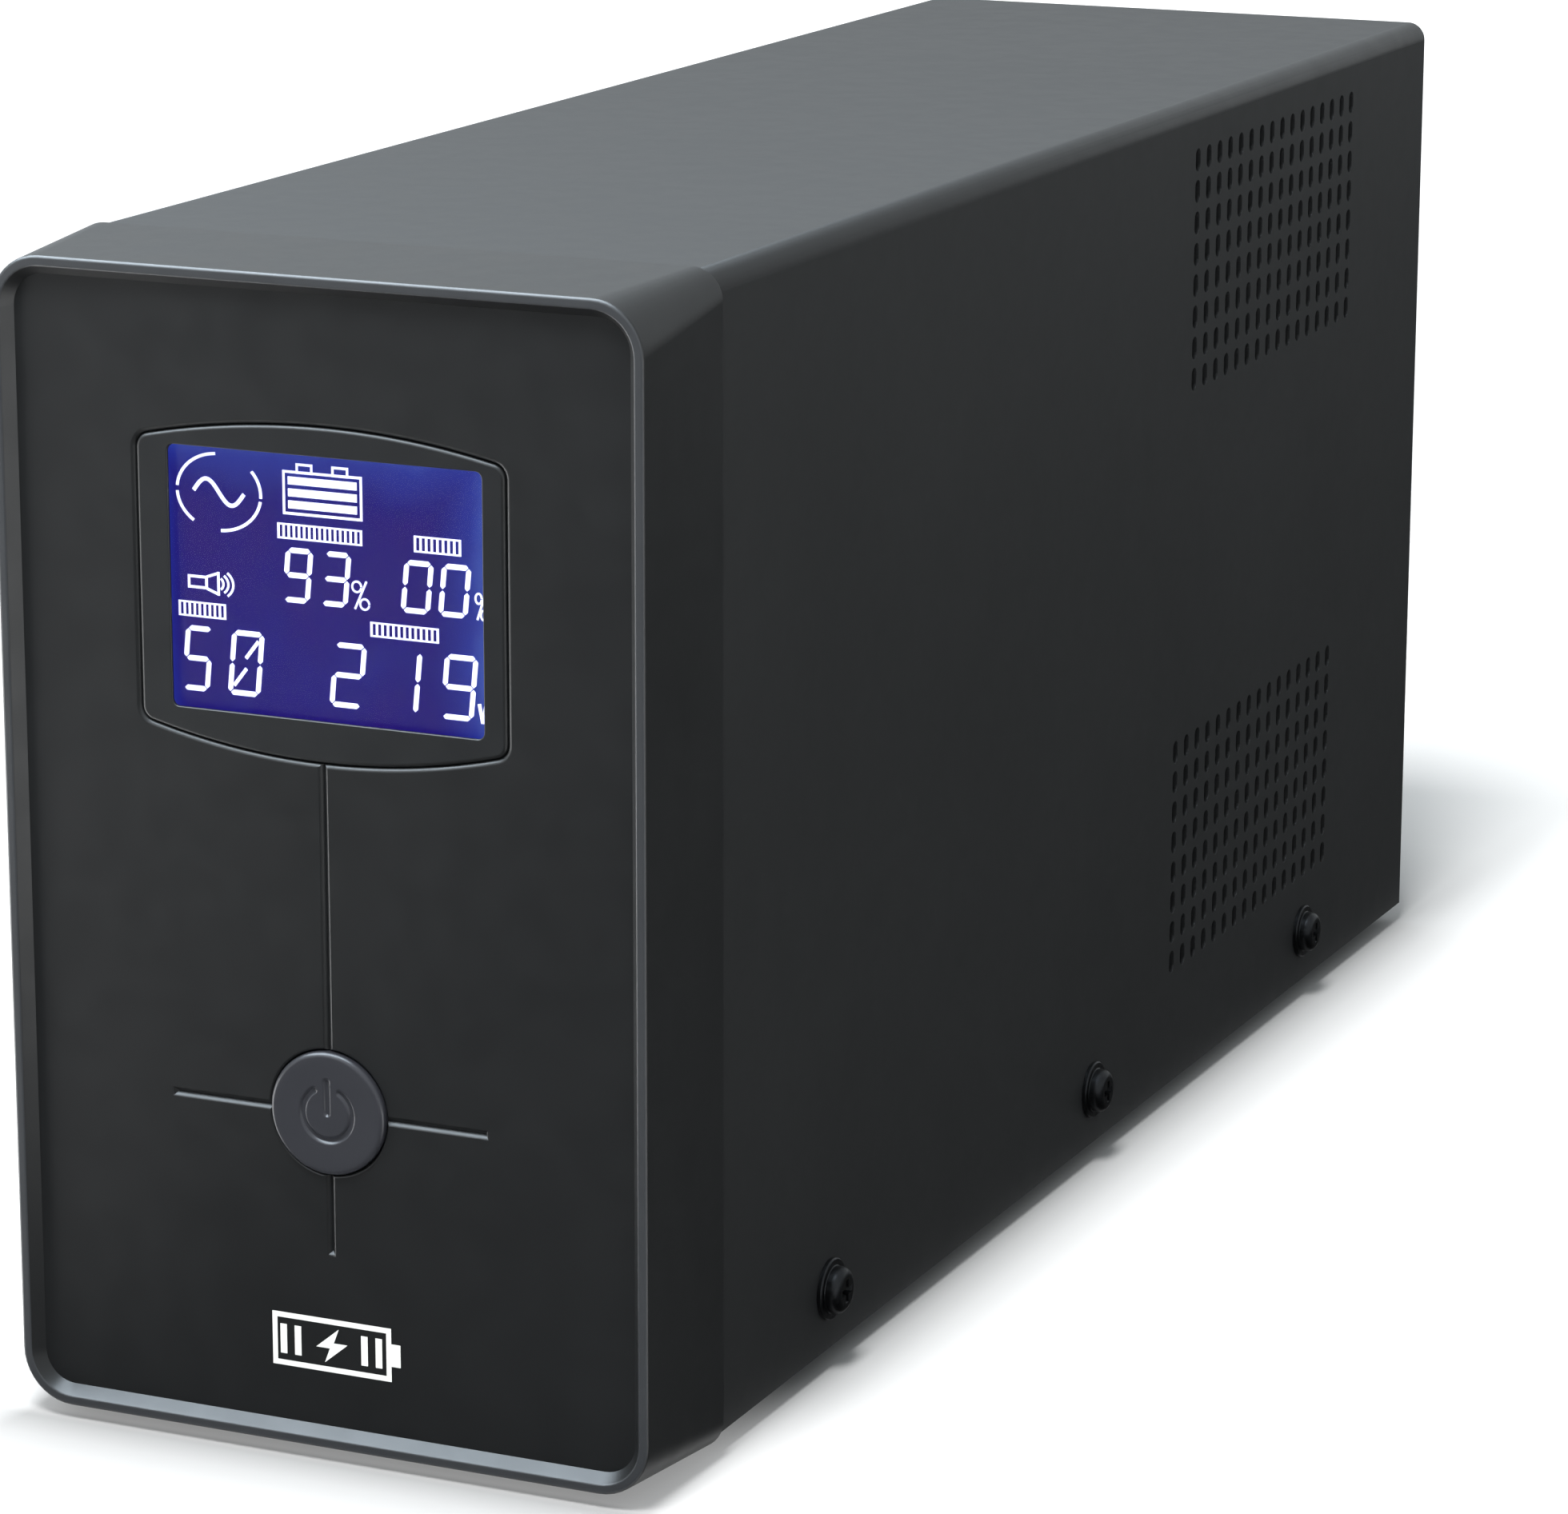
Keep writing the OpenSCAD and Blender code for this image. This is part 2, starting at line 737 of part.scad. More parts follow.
// Clamp that holds the core down: over the top and out into two feet
module transformer_bracket() {
  y = core_size[1] / 2 + 0.2;
  color("#9da1a5") placed() difference() {
    plate_x(-20, 40) translate([core_y, 0]) {
      for (s = [-1, 1]) {
        translate([s * (y + bracket_t / 2) - bracket_t / 2, pan_top])
          square([bracket_t, core_top + 0.2 + bracket_t - pan_top]);
        translate([s * (y + bracket_t + bracket_foot / 2) - bracket_foot / 2, pan_top])
          square([bracket_foot, bracket_t]);
        translate([s * (y + bracket_t) - 0.5, pan_top]) square([1, bracket_t]);
      }
      translate([-y - eps, core_top + 0.2]) square([2 * (y + eps), bracket_t]);
    }
    for (at = clamp_screw_places()) translate([at[0], at[1], pan_top - 1])
      cylinder(d = clear_d, h = 4);
  }
}

// Leads from the coil up to the underside of the board
module transformer_leads() {
  z = window_low + window_h;
  color("#d9d6cc") placed() for (k = [0:4])
    wire([
      [31, core_y - 16 + 8 * k, z + 0.1], [30, core_y - 15 + 7 * k, z + 16],
      [26, core_y - 12 + 6 * k, z + 34], [21, core_y - 10 + 5 * k, main_z - 6],
      [20, core_y - 10 + 5 * k, main_z - 0.1]
    ], 2.4);
}

// ---------- circuit board deck ----------

function strap_screw_places() = [for (s = [-1, 1]) [s * 39, strap_y + strap_w / 2]];
function clamp_screw_places() = [
  for (s = [-1, 1], e = [-1, 1])
    [s * 12, core_y + e * (core_size[1] / 2 + bracket_t + bracket_foot / 2 + 0.2)]
];
function leg_screw_places() = [
  for (s = [-1, 1], y = deck_legs) [s * (deck_x - 6), y + leg_w / 2]
];
function chassis_screw_places() =
  concat(strap_screw_places(), clamp_screw_places(), leg_screw_places());
function seat_height(i) =
  i < 2 ? strap_t : i < 6 ? bracket_t : deck_t;

module chassis_screws() {
  places = chassis_screw_places();
  color("#c9a24a") placed() {
    for (i = [0:len(places) - 1])
      translate([places[i][0], places[i][1], pan_top + seat_height(i)])
        rotate([180, 0, 0]) pan_screw(5.6, 2, 2.7, seat_height(i) + sheet_t - 0.1);
    for (s = [-1, 1], y = standoff_y) translate([s * standoff_x, y, main_top])
      rotate([180, 0, 0]) pan_screw(5.6, 2, 2.7, 5);
  }
}

module board_bracket() {
  depth = deck_y[1] - deck_y[0];
  color("#9da1a5") placed() difference() {
    union() {
      translate([-deck_x, deck_y[0], deck_z]) cube([2 * deck_x, depth, deck_t]);
      for (s = [-1, 1], y = deck_legs) {
        translate([s * (deck_x - deck_t / 2) - deck_t / 2, y, pan_top])
          cube([deck_t, leg_w, deck_z + deck_t - pan_top]);
        translate([s * (deck_x - 5) - 5, y, pan_top]) cube([10, leg_w, deck_t]);
      }
    }
    translate([-30, 200, deck_z - 1]) cube([60, 74, 3]);
    translate([-30, 160, deck_z - 1]) cube([60, 32, 3]);
    for (at = leg_screw_places()) translate([at[0], at[1], pan_top - 1])
      cylinder(d = clear_d, h = 4);
    for (s = [-1, 1], y = standoff_y) translate([s * standoff_x, y, deck_z - 1])
      cylinder(d = thread_d, h = 4);
  }
}

module board_standoffs() {
  color("#c9a24a") placed() for (s = [-1, 1], y = standoff_y)
    translate([s * standoff_x, y, deck_z + deck_t]) difference() {
      cylinder(d = 6, h = standoff_h, $fn = 6);
      translate([0, 0, -1]) cylinder(d = thread_d, h = standoff_h + 2);
    }
}

module main_board() {
  color("#1f5b33") placed() difference() {
    translate([-main_x, main_y[0], main_z])
      cube([2 * main_x, main_y[1] - main_y[0], board_t]);
    for (s = [-1, 1], y = standoff_y) translate([s * standoff_x, y, main_z - 1])
      cylinder(d = 3.2, h = 4);
  }
}

// Upright plate with fins that point away from the board's middle
module heatsink(side, y, length) {
  fins = floor(length / 6);
  color("#aeb3b8") placed() translate([0, 0, main_top]) linear_extrude(34) {
    translate([side * 23.5 - 1.5, y]) square([3, length]);
    for (i = [0:fins])
      translate([side * 28 - 5, y + i * (length - 1.4) / fins]) square([10, 1.4]);
  }
}
module heatsink_left() { heatsink(-1, 172, 64); }
module heatsink_right() { heatsink(1, 172, 48); }

// Flat power packages screwed to the heatsinks, on three legs each
module power_transistors() {
  rows = [[-1, [177, 192, 207, 222]], [1, [177, 190.5, 204]]];
  color("#1b1c1e") placed() for (row = rows, y = row[1])
    translate([row[0] * 22, y, main_top]) {
      sx = row[0];
      translate([-sx * 2.35 - 2.25, 0, 5]) cube([4.5, 10, 15]);
      translate([-sx * 0.75 - 0.65, 0, 20 - eps]) cube([1.3, 10, 6.4]);
      for (k = [0:2])
        translate([-sx * 2.6 - 0.35, 2.1 + k * 2.54, 0]) cube([0.7, 0.8, 5 + eps]);
    }
}

module relays() {
  color("#23252a") placed() for (i = [0:3])
    translate([-35 + i * 18, 262, main_top]) {
      cube([15.5, 19, 1]);
      translate([0.3, 0.3, 1 - eps]) cube([14.9, 18.4, 14.4]);
    }
}

module can(x, y, d, h) {
  translate([x, y, main_top]) {
    cylinder(d = d, h = h * 0.08);
    translate([0, 0, h * 0.08 - eps]) cylinder(d = d - 0.8, h = h * 0.06);
    translate([0, 0, h * 0.14 - 2 * eps]) cylinder(d = d, h = h * 0.86);
  }
}
module electrolytic_capacitors() {
  color("#26324f") placed() {
    can(-7.2, 177, 15.6, 25);
    can(9, 177, 15.6, 25);
    can(-11, 222, 10, 16);
    can(2, 222, 10, 16);
    can(-11, 235, 10, 16);
  }
}

module film_capacitors() {
  color("#b9872b") placed() {
    translate([-39, 244, main_top]) cube([18, 8.6, 15]);
    translate([26, 226, main_top]) cube([8.6, 18, 15]);
  }
}

// Toroid lying on the board
module choke() {
  color("#b0702c") placed() translate([9, 245, main_top]) rotate_extrude()
    translate([9.2, 6]) round_rect(7, 12, 2.4);
}

module controller_chip() {
  color("#17181a") placed() translate([-7, 198, main_top]) {
    translate([1, 1, 0.3]) cube([12, 12, 1.5]);
    for (s = [0, 1], k = [0:10]) translate([s * 12, 2 + k, 0]) cube([2, 0.4, 0.6]);
  }
}

module buzzer() {
  color("#141415") placed() translate([30, 165, main_top]) difference() {
    cylinder(d = 12, h = 9.5);
    translate([0, 0, 7.5]) cylinder(d = 2.4, h = 3);
  }
}

// ---------- rear connectors ----------

inlet_face = panel_face + 2.4;
inlet_depth = 16.4;
pin_places = [[-7, -2], [7, -2], [0, 2]];
pin_size = [2, 4];

module inlet_body() {
  color("#161718") placed() difference() {
    union() {
      plate_y(panel_face, inlet_face - panel_face) translate(inlet_at) {
        square([40, 23.6], center = true);
        for (s = [-1, 1]) translate([s * inlet_screw_x, 0]) circle(5.2);
      }
      plate_y(panel_y - 18, 18 + 2 * sheet_t) translate(inlet_at)
        square([27.6, 20], center = true);
    }
    plate_y(inlet_face - inlet_depth, inlet_depth + 1) translate(inlet_at)
      connector_outline(24.6, 17, 4.2);
    plate_y(panel_y - 20, 20) translate(inlet_at) for (p = pin_places)
      translate(p) square([pin_size[0] + 0.1, pin_size[1] + 0.1], center = true);
    for (s = [-1, 1])
      axis_y(inlet_at[0] + s * inlet_screw_x, panel_face - 1, inlet_at[1]) cylinder(d = 3.3, h = 5);
  }
}

module inlet_pins() {
  color("#c3c6c9") placed() plate_y(panel_y - 26, 27.4) translate(inlet_at)
    for (p = pin_places) translate(p) square(pin_size, center = true);
}

module inlet_screws() {
  color("#8c8f92") placed() for (s = [-1, 1])
    axis_y(inlet_at[0] + s * inlet_screw_x, inlet_face, inlet_at[1]) rotate([180, 0, 0])
      pan_screw(5.4, 1.8, 2.7, 8);
}

breaker_nose = panel_face + 4.6;
module breaker_body() {
  color("#1a1b1c") placed() difference() {
    union() {
      translate([breaker_at[0] - 7, panel_y - 24, breaker_at[1] - 12]) cube([14, 24, 24]);
      axis_y(breaker_at[0], panel_y - eps, breaker_at[1])
        cylinder(d = 9.8, h = breaker_nose - panel_y);
      for (s = [-1, 1])
        translate([breaker_at[0] - 0.4, panel_y - 32, breaker_at[1] + s * 7 - 3])
          cube([0.8, 8 + eps, 6]);
    }
    axis_y(breaker_at[0], panel_y - 14, breaker_at[1]) cylinder(d = 6.2, h = 40);
  }
}

module breaker_nut() {
  color("#b9bcc0") placed() axis_y(breaker_at[0], panel_face, breaker_at[1]) difference() {
    cylinder(d = 15, h = 2.4, $fn = 6);
    translate([0, 0, -1]) cylinder(d = 9.9, h = 5);
  }
}

// Push-to-reset button; it stands further out when the breaker has tripped
module breaker_button() {
  reach = case_end + breaker_reach - (panel_y - 12);
  edge = 0.8;
  color("#d9d9d6") placed() axis_y(breaker_at[0], panel_y - 12, breaker_at[1])
    rotate_extrude() {
      square([2.8, reach - edge]);
      square([2.8 - edge, reach]);
      translate([2.8 - edge, reach - edge]) circle(edge);
    }
}

// Mains outlet: a collar around a core with three slots
outlet_face = panel_face + 2.2;
outlet_depth = 17;
outlet_slots = [[-7, -2], [7, -2], [0, 2]];
function outlet_at(i) = [(i % 2 == 0 ? -1 : 1) * outlet_x, outlet_z[i < 2 ? 1 : 0]];
module outlet(i) {
  color("#161718") placed() difference() {
    union() {
      plate_y(panel_face, outlet_face - panel_face) translate(outlet_at(i))
        round_rect(35, 28, 1.5);
      plate_y(panel_y - 19, 19 + 2 * sheet_t) translate(outlet_at(i))
        square([31.4, 23.6], center = true);
    }
    plate_y(outlet_face - outlet_depth, outlet_depth + 1) translate(outlet_at(i))
      difference() {
        connector_outline(29.4, 21.4, 3.4);
        connector_outline(24, 15.9, 4);
      }
    plate_y(panel_y - 20, 30) translate(outlet_at(i)) for (p = outlet_slots)
      translate(p) square([3, 5], center = true);
    plate_y(outlet_face - 0.6, 2) translate(outlet_at(i)) connector_outline(25, 17, 4);
  }
}
module outlet_1() { outlet(0); }
module outlet_2() { outlet(1); }
module outlet_3() { outlet(2); }
module outlet_4() { outlet(3); }

module outlet_contacts() {
  color("#c9a24a") placed() for (i = [0:3]) translate([outlet_at(i)[0], 0, outlet_at(i)[1]])
    for (p = outlet_slots)
      translate([p[0] - 1.4, panel_y - 25, p[1] - 2.3]) cube([0.7, 20, 4.6]);
}

module usb_port() {
  face = panel_face + 1;
  color("#b9bcc0") placed() difference() {
    translate([usb_at[0] - 6, face - 17, usb_at[1] - 5.5]) cube([12, 17, 11]);
    difference() {
      plate_y(face - 9, 10) translate(usb_at) connector_outline(8.6, 7.9, 1.7);
      translate([usb_at[0] - 2.8, face - 10, usb_at[1] - 1.6]) cube([5.6, 9.2, 3.2]);
    }
  }
}

// Modular jack: a square port with a stepped latch notch below
module surge_jack(at) {
  face = panel_face + 0.8;
  color("#202225") placed() difference() {
    translate([at[0] - 7.9, face - 19, at[1] - 6.8]) cube([15.8, 19, 13.6]);
    plate_y(face - 12.5, 13) translate(at) {
      translate([-5.9, -2.4]) square([11.8, 7.2]);
      translate([-3.1, -4.1]) square([6.2, 2]);
      translate([-2, -5.4]) square([4, 2]);
    }
  }
}
module surge_jack_in() { surge_jack(jack_in_at); }
module surge_jack_out() { surge_jack(jack_out_at); }

// ---------- sub-parts ----------

top_cover();
base_pan();
rear_panel();
cover_screws();
rear_screws();
foot_front_left();
foot_front_right();
foot_rear_left();
foot_rear_right();
front_bezel();
bezel_screws();
display_frame();
display_lens();
lcd_panel();
lcd_backlight();
lcd_housing();
display_board();
power_button();
switch_plunger();
power_switch();
ribbon_cable();
battery_case();
battery_lid();
battery_terminals();
battery_strap();
battery_connectors();
battery_lead_red();
battery_lead_black();
transformer_core();
transformer_bobbin();
transformer_winding();
transformer_bracket();
transformer_leads();
chassis_screws();
board_bracket();
board_standoffs();
main_board();
heatsink_left();
heatsink_right();
power_transistors();
relays();
electrolytic_capacitors();
film_capacitors();
choke();
controller_chip();
buzzer();
inlet_body();
inlet_pins();
inlet_screws();
breaker_body();
breaker_nut();
breaker_button();
outlet_1();
outlet_2();
outlet_3();
outlet_4();
outlet_contacts();
usb_port();
surge_jack_in();
surge_jack_out();
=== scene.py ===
"""Looks of a small uninterruptible power supply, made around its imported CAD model.

Drawing lengths are millimetres: x to the right, y back from the front rim and z up.
place() turns them into the frame's metres.
"""
import json
import math

import bmesh
import bpy
from mathutils import Matrix, Vector

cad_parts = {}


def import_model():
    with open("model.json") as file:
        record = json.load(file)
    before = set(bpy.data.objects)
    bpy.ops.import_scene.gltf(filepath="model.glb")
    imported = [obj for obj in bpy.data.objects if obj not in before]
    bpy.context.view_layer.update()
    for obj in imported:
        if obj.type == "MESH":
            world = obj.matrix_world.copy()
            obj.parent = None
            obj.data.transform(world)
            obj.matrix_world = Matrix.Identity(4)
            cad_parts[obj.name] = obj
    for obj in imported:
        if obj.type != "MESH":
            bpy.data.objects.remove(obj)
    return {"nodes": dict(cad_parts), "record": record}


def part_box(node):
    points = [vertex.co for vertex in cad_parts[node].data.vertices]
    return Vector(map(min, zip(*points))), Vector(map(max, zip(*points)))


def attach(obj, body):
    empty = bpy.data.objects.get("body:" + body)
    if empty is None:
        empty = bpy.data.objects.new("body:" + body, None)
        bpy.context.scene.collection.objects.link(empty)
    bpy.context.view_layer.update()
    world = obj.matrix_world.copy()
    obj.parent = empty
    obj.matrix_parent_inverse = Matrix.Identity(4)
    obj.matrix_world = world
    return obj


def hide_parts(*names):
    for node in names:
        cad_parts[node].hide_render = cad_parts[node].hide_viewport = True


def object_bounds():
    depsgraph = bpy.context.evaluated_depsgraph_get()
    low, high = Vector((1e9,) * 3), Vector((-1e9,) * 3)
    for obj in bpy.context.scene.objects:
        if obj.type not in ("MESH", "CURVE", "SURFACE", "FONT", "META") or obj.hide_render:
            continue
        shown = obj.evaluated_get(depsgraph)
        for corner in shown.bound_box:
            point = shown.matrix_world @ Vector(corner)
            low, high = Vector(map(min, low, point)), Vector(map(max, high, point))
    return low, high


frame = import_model()
CAD_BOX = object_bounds()
MM = 0.001
FRONT_Y = CAD_BOX[0].y


def drawn_box(node):
    """A CAD node's lowest and highest corner in drawing millimetres."""
    low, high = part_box(node)
    shift = Vector((0, FRONT_Y, 0))
    return (low - shift) / MM, (high - shift) / MM


# ---------- driving sizes, in millimetres ----------

BEZEL_LOW, BEZEL_HIGH = drawn_box("front_bezel")
COVER_LOW, COVER_HIGH = drawn_box("top_cover")
LENS_LOW, LENS_HIGH = drawn_box("display_lens")
PANEL_Y = drawn_box("lcd_panel")[0].y
BUTTON_LOW, BUTTON_HIGH = drawn_box("power_button")
RIM_W, RIM_H = 96.0, 160.8
RIM_LOW = BEZEL_LOW.z + 0.8
RIM_HIGH = RIM_LOW + RIM_H
RIM_RADIUS, BACK_RADIUS = 7.5, 4.5
RIM_OUTER, RIM_LAND, RIM_INNER, SLOPE_TILT = 0.45, 0.68, 0.42, 53
FACE_Y = drawn_box("display_frame")[0].y
WALL = 2.2
FACE_BACK = FACE_Y + WALL
FRAME_HALF_W = 27.3
CASE_Z = COVER_LOW.z - 0.4
FRAME_LOW, FRAME_HIGH = CASE_Z + 94.7, CASE_Z + 139.8
LOW_BULGE, HIGH_BULGE = 3.7, 3.1
FRAME_CORNER = 2.0
FRAME_GAP = 0.06
FRAME_FLANGE, FLANGE_OUT = 1.2, 1.8
FRAME_LIP, OPENING_LIP, BUTTON_LIP = 0.6, 0.75, 0.4
LCD_W, LCD_H = 46.5, 35.5
WINDOW_SHIFT = 0.7, 0.3
LCD_Z = (LENS_LOW.z + LENS_HIGH.z) / 2 + WINDOW_SHIFT[1]
BUTTON_Z = (BUTTON_LOW.z + BUTTON_HIGH.z) / 2
BUTTON_R = 8.6
BUTTON_GAP = 0.2
GROOVE_HALF_W, GROOVE_DEEP = 0.72, 0.6
GROOVE_DROP, GROOVE_SIDE = 19.6, 23.3
BOSS_X, BOSS_UP = 39.0, (11.3, 148.3)
BOSS_R, BOSS_HOLE_R, BOSS_HOLE_DEEP = 3.5, 1.25, 12
POST_X, POST_UP = 30.5, (40.3, 145.3)
POST_R, POST_PIN_R, POST_PIN_LONG = 2.5, 1.2, 2.6
BOARD_Y = 14.0
SCREW_Y = (61.4, 164.5, 265.0)
SCREW_Z = CASE_Z + 9.3


def place(point):
    """A drawing point in millimetres, in the frame's metres."""
    return Vector((point[0] * MM, FRONT_Y + point[1] * MM, point[2] * MM))


# ---------- mesh helpers ----------

def add_mesh(name, points, faces):
    mesh = bpy.data.meshes.new(name)
    mesh.from_pydata([place(p) for p in points], [], faces)
    shell = bmesh.new()
    shell.from_mesh(mesh)
    bmesh.ops.recalc_face_normals(shell, faces=shell.faces)
    shell.to_mesh(mesh)
    shell.free()
    obj = bpy.data.objects.new(name, mesh)
    bpy.context.scene.collection.objects.link(obj)
    return obj


def loft_data(rings):
    """Points and faces of a closed skin through rings of equally many points, capped at both ends."""
    count = len(rings[0])
    points = [p for ring in rings for p in ring]
    faces = [tuple(range(count)), tuple(range(len(points) - count, len(points)))]
    for i in range(len(rings) - 1):
        for k in range(count):
            j = (k + 1) % count
            a, b = i * count, (i + 1) * count
            faces.append((a + k, a + j, b + j, b + k))
    return points, faces


def loft(name, rings):
    return add_mesh(name, *loft_data(rings))


def stack(outline, profile):
    """Rings of a flat outline(grow) in x and z, at each (grow, y) of the profile."""
    return [[(x, y, z) for x, z in outline(grow)] for grow, y in profile]


def merge(name, parts):
    """One mesh object out of several lists of points and faces."""
    points, faces = [], []
    for part_points, part_faces in parts:
        start = len(points)
        points.extend(part_points)
        faces.extend([tuple(start + i for i in face) for face in part_faces])
    return add_mesh(name, points, faces)


def combine(obj, tools, operation="DIFFERENCE"):
    """Cuts the tools from obj, or joins them to it, and removes the tools."""
    for tool in tools:
        step = obj.modifiers.new("combine", "BOOLEAN")
        step.operation = operation
        step.object = tool
        step.solver = "EXACT"
    bpy.context.view_layer.update()
    made = bpy.data.meshes.new_from_object(obj.evaluated_get(bpy.context.evaluated_depsgraph_get()))
    obj.modifiers.clear()
    obj.data = made
    for tool in tools:
        bpy.data.objects.remove(tool)
    return obj


def shade(obj, sharp=35):
    """Smooth shading that stays crisp over edges sharper than so many degrees and flat on flat faces."""
    shell = bmesh.new()
    shell.from_mesh(obj.data)
    bmesh.ops.remove_doubles(shell, verts=shell.verts, dist=0.002 * MM)
    bmesh.ops.dissolve_degenerate(shell, edges=shell.edges, dist=0.001 * MM)
    for face in shell.faces:
        face.smooth = True
    for edge in shell.edges:
        edge.smooth = len(edge.link_faces) == 2 and edge.calc_face_angle(0) < math.radians(sharp)
    shell.to_mesh(obj.data)
    shell.free()
    weighted = obj.modifiers.new("weighted", "WEIGHTED_NORMAL")
    weighted.keep_sharp = True
    weighted.weight = 50
    return obj


def finish_piece(obj, body, node_names, material):
    """Rides on a body, stands for CAD nodes and takes a material."""
    obj.data.materials.clear()
    obj.data.materials.append(material)
    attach(obj, body)
    if node_names:
        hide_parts(*node_names)
    return obj


# ---------- flat outlines in x and z ----------

def arc(center, radius, start, end, steps):
    """Points of an arc between two angles in degrees, both ends included."""
    turn = [math.radians(start + (end - start) * k / steps) for k in range(steps + 1)]
    return [(center[0] + radius * math.cos(a), center[1] + radius * math.sin(a)) for a in turn]


def rounded(width, low, high, radius, steps=10):
    """Rectangle centred on x = 0 with round corners."""
    x, points = width / 2 - radius, []
    corners = [(x, low + radius, -90), (x, high - radius, 0), (-x, high - radius, 90), (-x, low + radius, 180)]
    for cx, cz, start in corners:
        points += arc((cx, cz), radius, start, start + 90, steps)
    return points


def barrel(grow):
    """Display frame outline: straight sides, arched top and bottom, round corners."""
    corner = FRAME_CORNER + grow
    corner_x = FRAME_HALF_W - FRAME_CORNER
    points = []
    for side, edge, bulge in ((-1, FRAME_LOW, LOW_BULGE), (1, FRAME_HIGH, HIGH_BULGE)):
        radius = (FRAME_HALF_W ** 2 + bulge ** 2) / (2 * bulge)
        centre_z = edge - side * radius
        reach = radius - FRAME_CORNER
        corner_z = centre_z + side * math.sqrt(reach ** 2 - corner_x ** 2)
        tilt = math.degrees(math.asin(corner_x / reach))
        middle = side * 90
        points += arc((side * corner_x, corner_z), corner, middle - 90, middle - tilt, 8)
        points += arc((0, centre_z), radius + grow, middle - tilt, middle + tilt, 48)[1:-1]
        points += arc((-side * corner_x, corner_z), corner, middle + tilt, middle + 90, 8)
    return points


def circle(center, radius, steps):
    return arc(center, radius, 0, 360 * (steps - 1) / steps, steps - 1)


# ---------- front bezel ----------

def lip_profile(gap, lip, deep, steps=6):
    """Profile of a cutter whose mouth leaves a rounded lip on the flat face."""
    angles = [math.radians(90 * k / steps) for k in range(steps + 1)]
    profile = [(gap, FACE_Y + deep)]
    profile += [(gap + lip * (1 - math.cos(a)), FACE_Y + lip * (1 - math.sin(a))) for a in angles]
    return clear_of_face(profile)


def clear_of_face(profile):
    """Carries a cutter's profile on from the face to well in front of it."""
    grow, y = profile[-1]
    return profile + [(grow + 0.02, y - 0.01), (grow + 0.02, FACE_Y - 1)]


def groove(x0, x1, z0, z1, steps=6):
    """Cutter for a groove in the face: a V whose lips round off."""
    def outline(grow):
        return [(x0 - grow, z0 - grow), (x1 + grow, z0 - grow), (x1 + grow, z1 + grow), (x0 - grow, z1 + grow)]
    shares = [k / steps for k in range(steps + 1)]
    profile = [(0.01 + GROOVE_HALF_W * t, FACE_Y + GROOVE_DEEP * (1 - t) ** 1.5) for t in shares]
    return loft("groove", stack(outline, clear_of_face(profile)))


def rim_profile():
    """(inset, y) from the flat face up the slope, over the nose's narrow land and round onto the outer wall."""
    land_in = RIM_OUTER + RIM_LAND
    inner_turns = [math.radians(a) for a in (SLOPE_TILT, 40, 26, 13, 0)]
    outer_turns = [math.radians(a) for a in (0, 15, 30, 45, 60, 75, 90)]
    inner = [(land_in + RIM_INNER * math.sin(a), RIM_INNER * (1 - math.cos(a))) for a in inner_turns]
    outer = [(RIM_OUTER * (1 - math.sin(a)), RIM_OUTER * (1 - math.cos(a))) for a in outer_turns]
    run = (FACE_Y - inner[0][1]) / math.tan(inner_turns[0])
    return [(inner[0][0] + run, FACE_Y)] + inner + outer


def bezel_shell():
    """Bezel with its sunk face, bosses behind, openings for display and button, and grooves."""
    depth = BEZEL_HIGH.y
    back_half = BEZEL_HIGH.x - RIM_W / 2

    def outline(inset, y):
        t = y / depth
        low = RIM_LOW + (BEZEL_LOW.z - RIM_LOW) * t
        high = RIM_HIGH + (BEZEL_HIGH.z - RIM_HIGH) * t
        radius = RIM_RADIUS + (BACK_RADIUS - RIM_RADIUS) * t
        width = RIM_W + 2 * back_half * t
        return [(x, y, z) for x, z in rounded(width - 2 * inset, low + inset, high - inset, max(radius - inset, 1))]

    rings = [outline(*at) for at in rim_profile()]
    back_edge, corner = 0.3, 0.09
    rings += [outline(0, depth - back_edge), outline(corner, depth - corner), outline(back_edge, depth)]
    cavity = rounded(RIM_W - 2 * WALL, RIM_LOW + WALL, RIM_HIGH - WALL, RIM_RADIUS - WALL)
    rings += [[(x, y, z) for x, z in cavity] for y in (depth, FACE_BACK)]
    shell = loft("bezel_shell", rings)
    boss_places = [(s * BOSS_X, CASE_Z + up) for s in (-1, 1) for up in BOSS_UP]
    post_places = [(s * POST_X, CASE_Z + up) for s in (-1, 1) for up in POST_UP]
    root_y = FACE_BACK - 0.5
    bosses = [post(x, z, BOSS_R, root_y, depth) for x, z in boss_places]
    bosses += [post(x, z, POST_R, root_y, BOARD_Y) for x, z in post_places]
    bosses += [post(x, z, POST_PIN_R, BOARD_Y - 1, BOARD_Y + POST_PIN_LONG) for x, z in post_places]
    combine(shell, bosses, "UNION")
    deep = WALL + 1
    tools = [
        loft("opening", stack(barrel, lip_profile(FRAME_GAP, OPENING_LIP, deep))),
        loft("opening", stack(button_outline, lip_profile(BUTTON_GAP, BUTTON_LIP, deep))),
        groove(0, 0, BUTTON_Z, FRAME_LOW),
        groove(0, 0, BUTTON_Z - GROOVE_DROP, BUTTON_Z),
        groove(-GROOVE_SIDE, GROOVE_SIDE, BUTTON_Z, BUTTON_Z),
    ]
    tools += [post(x, z, BOSS_HOLE_R, depth - BOSS_HOLE_DEEP, depth + 1) for x, z in boss_places]
    return combine(shell, tools)


def button_outline(grow):
    return circle((0, BUTTON_Z), BUTTON_R + grow, 96)


def post(x, z, radius, y0, y1, steps=32):
    """A plain round rod along y."""
    return loft("post", stack(lambda grow: circle((x, z), radius, steps), [(0, y0), (0, y1)]))


# ---------- display ----------

